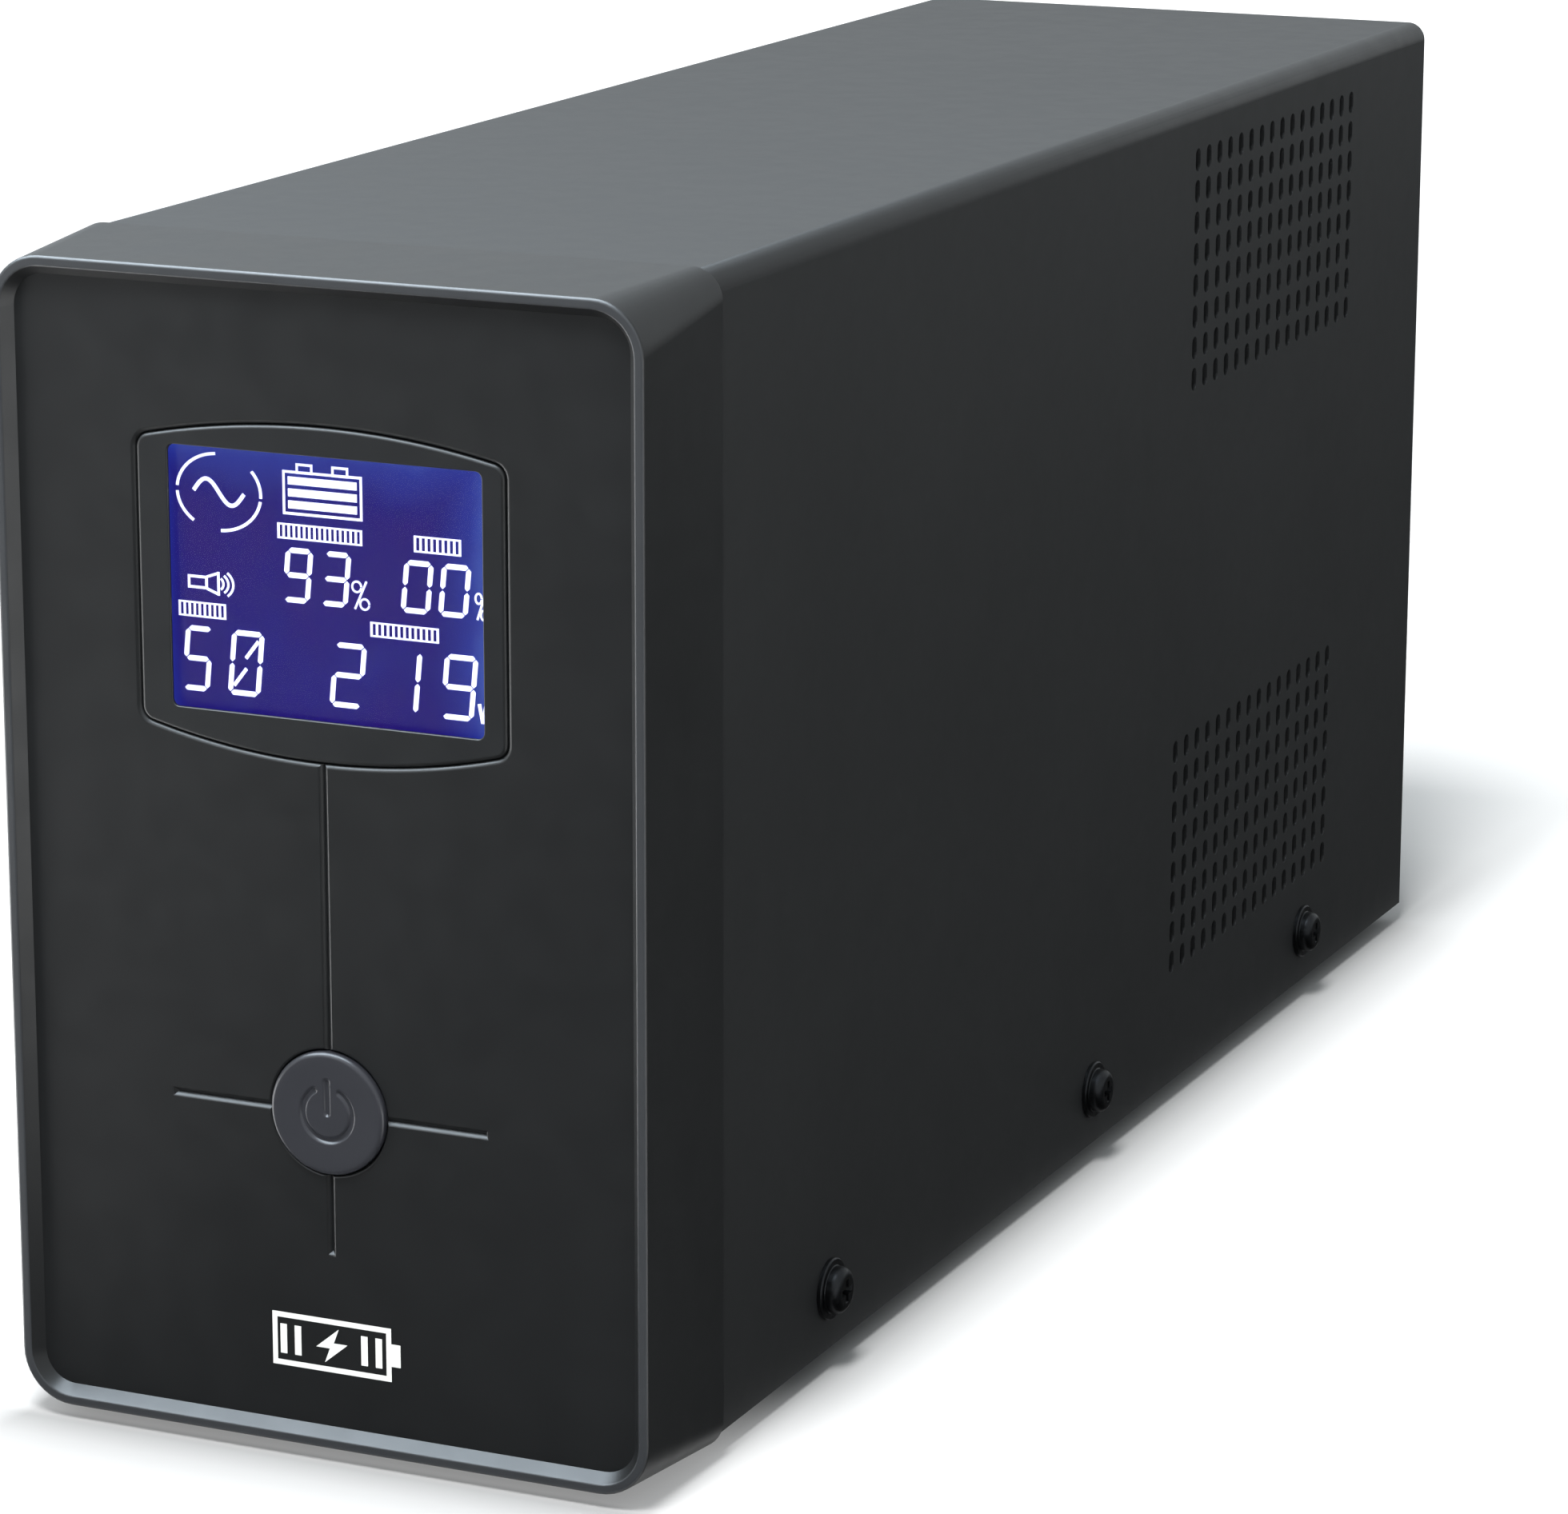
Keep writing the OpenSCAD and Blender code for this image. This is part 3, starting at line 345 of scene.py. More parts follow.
def display_surround():
    """Barrel-shaped frame with a round outer edge, a flange behind the face and a stepped window."""
    steps = 6
    turns = [math.radians(90 * k / steps) for k in range(steps + 1)]
    profile = [(-FRAME_LIP * (1 - math.sin(a)), FACE_Y + FRAME_LIP * (1 - math.cos(a))) for a in turns]
    profile += [(0, FACE_BACK), (FLANGE_OUT, FACE_BACK), (FLANGE_OUT, FACE_BACK + FRAME_FLANGE)]
    body = loft("display_surround", stack(barrel, profile))

    def window(grow):
        edge = rounded(LCD_W + 2 * grow, LCD_Z - LCD_H / 2 - grow, LCD_Z + LCD_H / 2 + grow, 1 + grow, 8)
        return [(x + WINDOW_SHIFT[0], z) for x, z in edge]
    lens_y = LENS_LOW.y
    cutter = loft("window", stack(window, [(1, 8), (1, lens_y)] + lip_profile(0, 0.2, lens_y - FACE_Y)))
    return combine(body, [cutter])


SEGMENTS = {"0": "abcdef", "1": "bc", "2": "abged", "3": "abgcd", "5": "afgcd", "9": "abcdfg"}
STROKE = 0.72
SLANT = 0.1
MARKS_DOWN = 0.4


def polygon(points, low_y, high_y):
    """Prism of a flat outline in x and z, as points and faces."""
    return loft_data([[(x, y, z) for x, z in points] for y in (low_y, high_y)])


class Marks:
    """Printed or lit shapes, collected as thin prisms. x and d run right and down from their top middle."""

    def __init__(self, low_y, high_y, top):
        self.parts, self.low_y, self.high_y, self.top = [], low_y, high_y, top

    def shape(self, points):
        outline = [(x, self.top - d - MARKS_DOWN) for x, d in points]
        self.parts.append(polygon(outline, self.low_y, self.high_y))

    def bar(self, x0, x1, d0, d1):
        self.shape([(x0, d0), (x1, d0), (x1, d1), (x0, d1)])

    def outline_box(self, x0, x1, d0, d1, line):
        self.bar(x0, x1, d0, d0 + line)
        self.bar(x0, x1, d1 - line, d1)
        self.bar(x0, x0 + line, d0 + line, d1 - line)
        self.bar(x1 - line, x1, d0 + line, d1 - line)

    def label(self, x0, x1, d0, d1):
        """Stands for a printed word: a line of ticks between two rules."""
        rule, tick, pitch = 0.24, 0.34, 0.78
        self.bar(x0, x1, d0, d0 + rule)
        self.bar(x0, x1, d1 - rule, d1)
        count = int((x1 - x0) / pitch)
        for k in range(count + 1):
            x = x0 + (x1 - x0 - tick) * k / count
            self.bar(x, x + tick, d0 + rule, d1 - rule)

    def stroke(self, a, b, line):
        """A straight stroke between two points."""
        run = Vector((b[0] - a[0], b[1] - a[1])).normalized() * line / 2
        side = (-run.y, run.x)
        self.shape([(a[0] + side[0], a[1] + side[1]), (b[0] + side[0], b[1] + side[1]),
                    (b[0] - side[0], b[1] - side[1]), (a[0] - side[0], a[1] - side[1])])

    def bow(self, center, radii, start, end, line, steps=14):
        """A band along part of an ellipse."""
        def run(grow):
            turn = [math.radians(start + (end - start) * k / steps) for k in range(steps + 1)]
            return [(center[0] + (radii[0] + grow) * math.cos(a),
                     center[1] - (radii[1] + grow) * math.sin(a)) for a in turn]
        self.shape(run(line / 2) + run(-line / 2)[::-1])

    def digit(self, text, x, d, width, height, slashed=False):
        """One seven-segment figure, leaning a little to the right; a slash tells a nought from a letter."""
        half, gap = STROKE / 2, 0.1
        left, right = x + half, x + width - half
        rows = (d + half, d + height / 2, d + height - half)

        def lean(points):
            return [(px + SLANT * (d + height - pd), pd) for px, pd in points]

        def flat(row):
            x0, x1 = left + gap, right - gap
            return [(x0, row), (x0 + half, row - half), (x1 - half, row - half),
                    (x1, row), (x1 - half, row + half), (x0 + half, row + half)]

        def upright(column, top, low):
            d0, d1 = top + gap, low - gap
            return [(column, d0), (column + half, d0 + half), (column + half, d1 - half),
                    (column, d1), (column - half, d1 - half), (column - half, d0 + half)]
        shapes = {
            "a": flat(rows[0]), "g": flat(rows[1]), "d": flat(rows[2]),
            "f": upright(left, rows[0], rows[1]), "b": upright(right, rows[0], rows[1]),
            "e": upright(left, rows[1], rows[2]), "c": upright(right, rows[1], rows[2]),
        }
        for key in SEGMENTS[text]:
            self.shape(lean(shapes[key]))
        if slashed:
            middle = (left + right) / 2
            for a, b in (((right - 0.5, d + 1.3), (middle - 0.1, rows[1] - 0.7)),
                         ((middle + 0.1, rows[1] + 0.7), (left + 0.5, d + height - 1.3))):
                self.stroke(*lean([a, b]), 0.5)

    def percent(self, x, d, width, height):
        r = width * 0.27
        self.stroke((x + width * 0.85, d + 0.2), (x + width * 0.15, d + height - 0.2), 0.3)
        for cx, cd in ((x + r, d + height * 0.24), (x + width - r, d + height * 0.78)):
            self.bow((cx, cd), (r, height * 0.17), 0, 350, 0.28)


def lcd_marks():
    """Everything that is lit: charge, load, frequency and voltage, with rows of ticks as labels."""
    marks = Marks(PANEL_Y - 0.08, PANEL_Y - 0.01, LCD_Z + LCD_H / 2)

    # a broken ring round one wave of a sine
    ring, radii, line = (-15.6, 5.8), (6.3, 5.15), 0.42
    for start, end in ((94, 175), (183, 232), (-4, 38), (-88, -9)):
        marks.bow(ring, radii, start, end, line)
    wave = [(-19.4 + 0.42 * k, 5.8 - 1.7 * math.sin(math.radians(360 * k / 18))) for k in range(19)]
    for a, b in zip(wave, wave[1:]):
        marks.stroke(a, (b[0] + 0.02, b[1]), 0.55)

    # a battery with three bars of charge
    marks.outline_box(-6.0, 5.8, 2.0, 7.9, 0.34)
    for x in (-4.0, 1.3):
        marks.outline_box(x, x + 2.5, 0.95, 2.36, 0.34)
    for k in range(3):
        marks.bar(-5.2, 5.0, 2.8 + 1.6 * k, 3.85 + 1.6 * k)

    # labels and figures
    for x0, x1, d0, d1 in ((-6.9, 5.7, 9.1, 11.2), (13.3, 20.2, 9.1, 11.3),
                           (-22.1, -14.9, 20.9, 23.0), (6.7, 16.8, 21.2, 23.2)):
        marks.label(x0, x1, d0, d1)
    marks.digit("9", -6.4, 12.3, 4.1, 7.4)
    marks.digit("3", -0.75, 12.3, 4.1, 7.4)
    marks.percent(4.1, 15.7, 2.5, 4.2)
    marks.digit("0", 11.2, 12.4, 4.3, 7.1)
    marks.digit("0", 16.7, 12.4, 4.3, 7.1)
    marks.percent(22.2, 15.7, 1.7, 4.0)
    marks.digit("5", -21.9, 24.2, 4.2, 8.9)
    marks.digit("0", -14.9, 24.2, 4.9, 8.9, slashed=True)
    marks.digit("2", 0.4, 24.4, 4.9, 8.8)
    marks.digit("1", 9.9, 24.4, 3.6, 8.8)
    marks.digit("9", 16.8, 24.4, 4.9, 8.8)
    for x in (22.6, 23.6):
        marks.stroke((x, 30.7), (23.1, 33.3), 0.5)

    # a small horn with three sound waves
    horn_line = 0.36
    marks.outline_box(-20.6, -17.6, 17.3, 19.1, horn_line)
    for a, b in (((-17.7, 17.4), (-15.9, 16.75)), ((-17.7, 19.0), (-15.9, 19.65)),
                 ((-15.95, 16.6), (-15.95, 19.8)), ((-17.75, 17.3), (-17.75, 19.1))):
        marks.stroke(a, b, horn_line)
    for k in range(3):
        marks.bow((-16.4, 18.2), (1.2 + 0.75 * k, 1.0 + 0.55 * k), -48, 48, 0.32, 8)
    return merge("lcd_marks", marks.parts)


def front_mark():
    """A plain printed sign low on the front: a battery with a bolt in it."""
    marks = Marks(FACE_Y - 0.03, FACE_Y + 0.01, CASE_Z + 17.5)
    marks.outline_box(-9.3, 8.9, 0, 7.6, 0.75)
    marks.bar(8.9, 10.3, 2.2, 5.4)
    marks.shape([(0.9, 1.3), (-2.6, 4.2), (-0.5, 4.2), (-1.3, 6.3), (2.2, 3.4), (0.1, 3.4)])
    for x in (-7.6, -5.4, 4.8, 7.0):
        marks.bar(x - 0.5, x + 0.5, 1.7, 5.9)
    return merge("front_mark", marks.parts)


# ---------- power button ----------

SIGN_RADIUS, SIGN_LINE, SIGN_DEEP = 3.7, 0.42, 0.34
SIGN_BAR = 0.1, 4.5
SIGN_OPENING = 32


def sign_distance(x, z):
    """Distance to the power sign's centre line: a ring open at the top, with an upright bar."""
    angle = math.degrees(math.atan2(x, z))
    if abs(angle) < SIGN_OPENING:
        tip = math.radians(SIGN_OPENING)
        ring = min(math.hypot(x - s * SIGN_RADIUS * math.sin(tip), z - SIGN_RADIUS * math.cos(tip)) for s in (-1, 1))
    else:
        ring = abs(math.hypot(x, z) - SIGN_RADIUS)
    bar = math.hypot(x, z - min(max(z, SIGN_BAR[0]), SIGN_BAR[1]))
    return min(ring, bar)


def ease(t):
    t = min(max(t, 0), 1)
    return t * t * (3 - 2 * t)


def button_cap():
    """Round cap, slightly dished, with the sign pressed into it, a soft rim, a flange and a stem."""
    front, sides = BUTTON_LOW.y, 180
    edge, dish_deep, sign_half = 0.75, 0.16, 0.16
    flange_r, back_r, stem_r = BUTTON_R + 1.4, BUTTON_R - 1.4, 2.5
    flange_y, back_y, hollow_y = front + 3.6, front + 4.6, front + 1.9
    turns = [math.radians(15 * k) for k in range(1, 7)]

    def top_y(x, z):
        dish = dish_deep * (1 - (math.hypot(x, z) / (BUTTON_R - edge)) ** 2)
        pressed = SIGN_DEEP * (1 - ease((sign_distance(x, z) - sign_half) / SIGN_LINE))
        return front + dish + pressed

    def ring(r, y=None):
        """A ring at one depth, or laid on the dished top."""
        around = [2 * math.pi * k / sides for k in range(sides)]
        flat = [(r * math.sin(a), r * math.cos(a)) for a in around]
        return [(x, top_y(x, z) if y is None else y, BUTTON_Z + z) for x, z in flat]

    top = [0.14 * k for k in range(1, 38)] + [5.9, 6.6, 7.2, BUTTON_R - edge]
    profile = [(BUTTON_R - edge + edge * math.sin(a), front + edge * (1 - math.cos(a))) for a in turns]
    profile += [(BUTTON_R, flange_y - 0.2), (flange_r - 0.1, flange_y - 0.1), (flange_r, flange_y),
                (flange_r, back_y), (back_r, back_y), (back_r, hollow_y),
                (stem_r, hollow_y), (stem_r, BUTTON_HIGH.y)]
    return loft("button_cap", [ring(r) for r in top] + [ring(r, y) for r, y in profile])


# ---------- screws ----------

def side_screw(side, y):
    """Black screw: a washer, a rounded pan head with a cross recess, and its shank."""
    washer_r, washer_h, head_r, head_h, edge = 4.5, 0.7, 3.4, 2.75, 1.3
    shank_r, shank_long, chamfer = 1.35, 7, 0.2
    recess_low, recess_high = (head_h - 1.5, 0.7, 0.2), (head_h + 0.4, 1.95, 0.55)
    turns = [math.radians(15 * k) for k in range(7)]
    profile = [(shank_r, -shank_long), (shank_r, 0), (washer_r, 0)]
    profile += [(washer_r, washer_h - chamfer), (washer_r - chamfer, washer_h)]
    profile += [(head_r + 0.1, washer_h), (head_r, washer_h + 0.1)]
    profile += [(head_r - edge * (1 - math.cos(a)), head_h - edge * (1 - math.sin(a))) for a in turns]
    wall_x = COVER_HIGH.x

    def at(u, v, t):
        return (side * (wall_x + t), y + u, SCREW_Z + v)
    body = loft("side_screw", [[at(*p, t) for p in circle((0, 0), r, 48)] for r, t in profile])
    tools = []
    for turn in (0, 90):
        rings = []
        for t, long, thin in (recess_low, recess_high):
            corners = [(-long, -thin), (long, -thin), (long, thin), (-long, thin)]
            if turn:
                corners = [(-v, u) for u, v in corners]
            rings.append([at(u, v, t) for u, v in corners])
        tools.append(loft("recess", rings))
    return combine(body, tools)


def join(name, objects):
    """Joins mesh objects that sit at the origin into one."""
    shell = bmesh.new()
    for obj in objects:
        shell.from_mesh(obj.data)
    mesh = bpy.data.meshes.new(name)
    shell.to_mesh(mesh)
    shell.free()
    for obj in objects:
        bpy.data.objects.remove(obj)
    made = bpy.data.objects.new(name, mesh)
    bpy.context.scene.collection.objects.link(made)
    return made


# ---------- materials ----------

def linear(hex_colour):
    """A screen colour such as 2b2d2f as a linear colour."""
    values = [int(hex_colour[i:i + 2], 16) / 255 for i in (0, 2, 4)]
    return tuple(v / 12.92 if v <= 0.04045 else ((v + 0.055) / 1.055) ** 2.4 for v in values) + (1,)


class Shader:
    """A procedural material on object coordinates, built round a Principled surface."""

    def __init__(self, name, rough, metal=0.0, specular=0.5):
        self.material = bpy.data.materials.new(name)
        self.material.use_nodes = True
        self.tree = self.material.node_tree
        self.surface = next(n for n in self.tree.nodes if n.type == "BSDF_PRINCIPLED")
        self.surface.inputs["Roughness"].default_value = rough
        self.surface.inputs["Metallic"].default_value = metal
        self.surface.inputs["Specular IOR Level"].default_value = specular
        self.place = self.add("ShaderNodeTexCoord").outputs["Object"]

    def add(self, kind, **settings):
        node = self.tree.nodes.new(kind)
        for key, value in settings.items():
            setattr(node, key, value)
        return node

    def link(self, a, b):
        self.tree.links.new(a, b)

    def noise(self, size, detail=3, stretch=(1, 1, 1)):
        """Noise whose features are about so many millimetres across."""
        scale = self.add("ShaderNodeMapping")
        scale.inputs["Scale"].default_value = [s / (size * MM) for s in stretch]
        self.link(self.place, scale.inputs["Vector"])
        node = self.add("ShaderNodeTexNoise")
        node.inputs["Scale"].default_value = 1
        node.inputs["Detail"].default_value = detail
        self.link(scale.outputs["Vector"], node.inputs["Vector"])
        return node.outputs["Fac"]

    def math(self, operation, *values):
        """A sum on numbers or on other nodes' outputs."""
        node = self.add("ShaderNodeMath", operation=operation)
        for value, socket in zip(values, node.inputs):
            if isinstance(value, (int, float)):
                socket.default_value = value
            else:
                self.link(value, socket)
        return node.outputs["Value"]

    def hypot(self, a, b):
        return self.math("SQRT", self.math("ADD", self.math("POWER", a, 2), self.math("POWER", b, 2)))

    def range(self, value, from_low, from_high, low=0.0, high=1.0):
        """A value carried smoothly from one range to another."""
        node = self.add("ShaderNodeMapRange", interpolation_type="SMOOTHSTEP")
        for key, number in (("From Min", from_low), ("From Max", from_high), ("To Min", low), ("To Max", high)):
            node.inputs[key].default_value = number
        self.link(value, node.inputs["Value"])
        return node.outputs["Result"]

    def ramp(self, value, stops):
        node = self.add("ShaderNodeValToRGB")
        elements = node.color_ramp.elements
        for i, (at, colour) in enumerate(stops):
            element = elements[i] if i < 2 else elements.new(at)
            element.position = at
            element.color = colour
        self.link(value, node.inputs["Fac"])
        return node.outputs["Color"]

    def colour(self, value, stops):
        out = self.ramp(value, [(at, linear(tone)) for at, tone in stops])
        self.link(out, self.surface.inputs["Base Color"])
        return out

    def roughness(self, value, low, high):
        self.link(self.range(value, 0.3, 0.7, low, high), self.surface.inputs["Roughness"])

    def bump(self, value, height, strength=1.0):
        """Relief so many millimetres high."""
        node = self.add("ShaderNodeBump")
        node.inputs["Strength"].default_value = strength
        node.inputs["Distance"].default_value = height * MM
        self.link(value, node.inputs["Height"])
        earlier = self.surface.inputs["Normal"]
        if earlier.is_linked:
            self.link(earlier.links[0].from_socket, node.inputs["Normal"])
        self.link(node.outputs["Normal"], earlier)


def painted_steel(name, dark, light, rough=0.5):
    """Powder coat: fine orange peel over steel."""
    s = Shader(name, rough, specular=0.35)
    s.colour(s.noise(60, 3), [(0.3, dark), (0.7, light)])
    s.roughness(s.noise(5, 3), rough - 0.015, rough + 0.015)
    s.bump(s.noise(0.8, 2), 0.008, 0.5)
    s.bump(s.noise(0.22, 2), 0.006, 0.4)
    return s.material


def moulded(name, dark, light, rough=0.5, grain=0.16, relief=0.01, specular=0.5):
    """Injection-moulded plastic with a spark-eroded grain."""
    s = Shader(name, rough, specular=specular)
    s.colour(s.noise(28, 4), [(0.3, dark), (0.7, light)])
    s.roughness(s.noise(6, 4), rough - 0.02, rough + 0.02)
    s.bump(s.noise(grain, 3), relief, 0.5)
    return s.material


def metal(name, dark, light, rough=0.32, brushed=(1, 1, 1), size=3.0, relief=0.004):
    """Bare or plated metal with uneven shine."""
    s = Shader(name, rough, metal=1.0)
    s.colour(s.noise(size, 5, brushed), [(0.25, dark), (0.75, light)])
    s.roughness(s.noise(size * 0.6, 4, brushed), rough - 0.08, rough + 0.1)
    s.bump(s.noise(size * 0.12, 3, brushed), relief, 0.4)
    return s.material


def rubber(name, dark, light):
    s = Shader(name, 0.75, specular=0.3)
    s.colour(s.noise(5, 4), [(0.3, dark), (0.7, light)])
    s.roughness(s.noise(2, 4), 0.68, 0.82)
    s.bump(s.noise(0.35, 3), 0.03, 0.6)
    return s.material


def circuit_board(name):
    """Solder mask over copper: tracks show as slightly raised, lighter paths."""
    s = Shader(name, 0.35)
    tracks = s.noise(3.2, 1)
    s.colour(tracks, [(0.46, "17452a"), (0.5, "2a6b40"), (0.54, "17452a")])
    s.roughness(s.noise(4, 3), 0.3, 0.42)
    s.bump(tracks, 0.03, 0.5)
    return s.material


def wound_copper(name):
    """Close turns of enamelled wire under varnish."""
    s = Shader(name, 0.3, metal=0.85)
    wave = s.add("ShaderNodeTexWave", wave_type="BANDS", bands_direction="Z")
    wave.inputs["Scale"].default_value = 1 / (1.1 * MM) / 6.28
    wave.inputs["Distortion"].default_value = 0.6
    s.link(s.place, wave.inputs["Vector"])
    s.colour(wave.outputs["Fac"], [(0.1, "5e2f14"), (0.8, "b4692f")])
    s.bump(wave.outputs["Fac"], 0.25, 0.8)
    return s.material


def glowing(name, stops, size, strength, rough=0.4):
    """A lit surface: its own light, cloudy over so many millimetres."""
    s = Shader(name, rough)
    shown = s.colour(s.noise(size, 2), stops)
    s.link(shown, s.surface.inputs["Emission Color"])
    s.surface.inputs["Emission Strength"].default_value = strength
    s.bump(s.noise(0.6, 2), 0.002, 0.3)
    return s.material


def lcd_glow(name):
    """Blue display: violet in the middle, clearer blue along its top and side edges."""
    s = Shader(name, 0.35, specular=0.1)
    s.colour(s.noise(15, 2), [(0.3, "08070f"), (0.7, "0a0912")])
    split = s.add("ShaderNodeSeparateXYZ")
    s.link(s.place, split.inputs["Vector"])
    half_w = LCD_W / 2 * MM
    top = (LCD_Z + LCD_H / 2) * MM
    edges = [
        s.range(split.outputs["X"], half_w - 9 * MM, half_w + 5 * MM),
        s.range(split.outputs["X"], -half_w + 3 * MM, -half_w - 4 * MM),
        s.range(split.outputs["Z"], top - 9 * MM, top + 7 * MM),
    ]
    total = s.math("MAXIMUM", s.math("MAXIMUM", edges[0], edges[1]), edges[2])
    mix = s.math("MULTIPLY_ADD", s.noise(11, 2), 0.5, total)
    tones = [(0.12, "2a1470"), (0.3, "211676"), (0.75, "283292"), (1.0, "3a50a8")]
    shown = s.ramp(mix, [(at, linear(tone)) for at, tone in tones])
    s.link(shown, s.surface.inputs["Emission Color"])
    s.surface.inputs["Emission Strength"].default_value = 1.0
    return s.material


def clear_plastic(name, dark, light, rough=0.06):
    s = Shader(name, rough)
    s.surface.inputs["Transmission Weight"].default_value = 1.0
    s.surface.inputs["IOR"].default_value = 1.1
    s.colour(s.noise(20, 2), [(0.3, dark), (0.7, light)])
    s.roughness(s.noise(5, 3), rough, rough + 0.03)
    return s.material


def flat_cable(name):
    s = Shader(name, 0.45)
    wave = s.add("ShaderNodeTexWave", wave_type="BANDS", bands_direction="X")
    wave.inputs["Scale"].default_value = 1 / (1.27 * MM) / 6.28
    s.link(s.place, wave.inputs["Vector"])
    s.colour(wave.outputs["Fac"], [(0.1, "7d8288"), (0.6, "a3a8ad")])
    s.bump(wave.outputs["Fac"], 0.35, 0.8)
    return s.material


MATERIALS = {
    "case_steel": painted_steel("powder_coated_steel", "1a1b1c", "1d1e1f"),
    "bezel_plastic": moulded("bezel_plastic", "151617", "18191a", 0.42, specular=0.35),
    "frame_plastic": moulded("display_frame_plastic", "17181a", "1a1c1d", 0.42, specular=0.35),
    "display_lens": clear_plastic("display_lens", "f2f4f9", "f6f8fb"),
    "lcd_blue": lcd_glow("lcd_blue"),
    "backlight": glowing("backlight", [(0.3, "dcdcf4"), (0.7, "efeeff")], 9, 0.5),
    "inner_plastic": moulded("inner_plastic", "17181a", "1d1f21", 0.55),
    "circuit_board": circuit_board("circuit_board"),
    "button_plastic": moulded("button_plastic", "292a2f", "2f3035", 0.3, relief=0.003, specular=0.45),
    "plunger_plastic": moulded("plunger_plastic", "d2cec6", "e2ded6", 0.4),
    "ribbon": flat_cable("ribbon"),
    "black_screw": metal("blackened_screw", "2c2d2f", "38393b", 0.4, size=1.2),
    "zinc_screw": metal("zinc_screw", "8a8d90", "b3b6b9", 0.3, size=1.5),
    "foot_rubber": rubber("foot_rubber", "121213", "1a1a1b"),
    "battery_plastic": moulded("battery_plastic", "2f3135", "3a3c40", 0.5),
    "battery_lid": moulded("battery_lid", "222326", "2a2b2e", 0.5),
    "terminal_tin": metal("terminal_tin", "9c9fa3", "c3c6ca", 0.35, size=2),
    "sleeve_red": moulded("sleeve_red", "9c2118", "b4281d", 0.35),
    "lead_red": moulded("lead_red", "8f1611", "a81b15", 0.4),
    "lead_black": moulded("lead_black", "0c0c0d", "121213", 0.42),
    "strap_steel": metal("galvanised_strap", "83878b", "a9adb1", 0.38, size=9),
    "core_steel": metal("laminated_core", "3f4245", "6a6d71", 0.45, brushed=(6, 0.2, 0.2), size=2),
    "bobbin_plastic": moulded("bobbin_plastic", "cfc9b4", "ddd7c3", 0.45),
    "copper_winding": wound_copper("copper_winding"),
    "lead_white": moulded("lead_white", "c3c0b6", "d5d2c8", 0.42),
    "brass_hardware": metal("brass_hardware", "8f6d2c", "c79d4e", 0.3, size=2),
    "heatsink_aluminium": metal("extruded_aluminium", "8e9296", "b8bcc0", 0.34, brushed=(3, 3, 0.15), size=1.5),
    "package_black": moulded("package_black", "101113", "17181a", 0.6),
    "relay_plastic": moulded("relay_plastic", "15171b", "1c1f24", 0.35),
    "capacitor_sleeve": moulded("capacitor_sleeve", "172139", "1f2c4a", 0.25, relief=0.002),
    "film_capacitor": moulded("film_capacitor", "8f6418", "a8771f", 0.3),
    "choke_copper": wound_copper("choke_copper"),
    "connector_black": moulded("connector_black", "101112", "161718", 0.42),
    "pin_nickel": metal("nickel_pins", "a4a7aa", "cfd2d5", 0.25, size=2),
    "reset_white": moulded("reset_white", "c2c2bd", "d0d0cb", 0.38),
    "port_shell": metal("port_shell", "94979b", "bfc2c6", 0.3, size=2),
}


POLISHED_EDGE = moulded("polished_edge", "151617", "18191a", 0.4, relief=0.0004)
# Painted sheen: the rim's nose is coloured lighter than the bezel, standing in for its reflection.
RIM_PAINTED_SHEEN = moulded("rim_painted_sheen", "2e3033", "323437", 0.38, relief=0.0004)
PRINT_WHITE = moulded("print_white", "dedfdd", "ececea", 0.5, relief=0.003)


def polish_edges(obj):
    """Gives slopes, lips and grooves at the front a polished mould's finish, and the rim's nose a lighter colour
    that is a painted sheen.
    """
    obj.data.materials.append(POLISHED_EDGE)
    obj.data.materials.append(RIM_PAINTED_SHEEN)
    main, polished, painted_sheen = 0, 1, 2
    groove_y = FRONT_Y + (FACE_Y + 0.85) * MM
    nose_y = FRONT_Y + 0.12 * MM
    for face in obj.data.polygons:
        slanted = max(abs(face.normal.x), abs(face.normal.z)) < 0.93 and abs(face.normal.y) < 0.985
        # the rim's nose takes the painted sheen
        if face.center.y < nose_y:
            face.material_index = painted_sheen
        elif face.center.y < groove_y and slanted:
            face.material_index = polished
        else:
            face.material_index = main


SOFT_EDGES = {
    "top_cover": 0.12, "base_pan": 0.12, "rear_panel": 0.12, "rear_screws": 0.25, "inlet_screws": 0.2,
    "inlet_body": 0.25, "outlet_1": 0.25, "outlet_2": 0.25, "outlet_3": 0.25, "outlet_4": 0.25, "usb_port": 0.12,
    "surge_jack_in": 0.2, "surge_jack_out": 0.2, "breaker_nut": 0.2, "breaker_body": 0.15, "inlet_pins": 0.3,
}


def dress_cad_nodes():
    """Every CAD node takes the finish of its material slot, and outer parts get softened edges."""
    for part in frame["record"]["subparts"]:
        obj = frame["nodes"][part["node"]]
        obj.data.materials.clear()
        obj.data.materials.append(MATERIALS[part["material_slot"]])
        if part["node"] in SOFT_EDGES:
            weld = obj.modifiers.new("weld", "WELD")
            weld.merge_threshold = 0.005 * MM
            bevel = obj.modifiers.new("bevel", "BEVEL")
            bevel.width = SOFT_EDGES[part["node"]] * MM
            bevel.segments = 2
            bevel.angle_limit = math.radians(40)
            bevel.harden_normals = True


# ---------- the pieces ----------

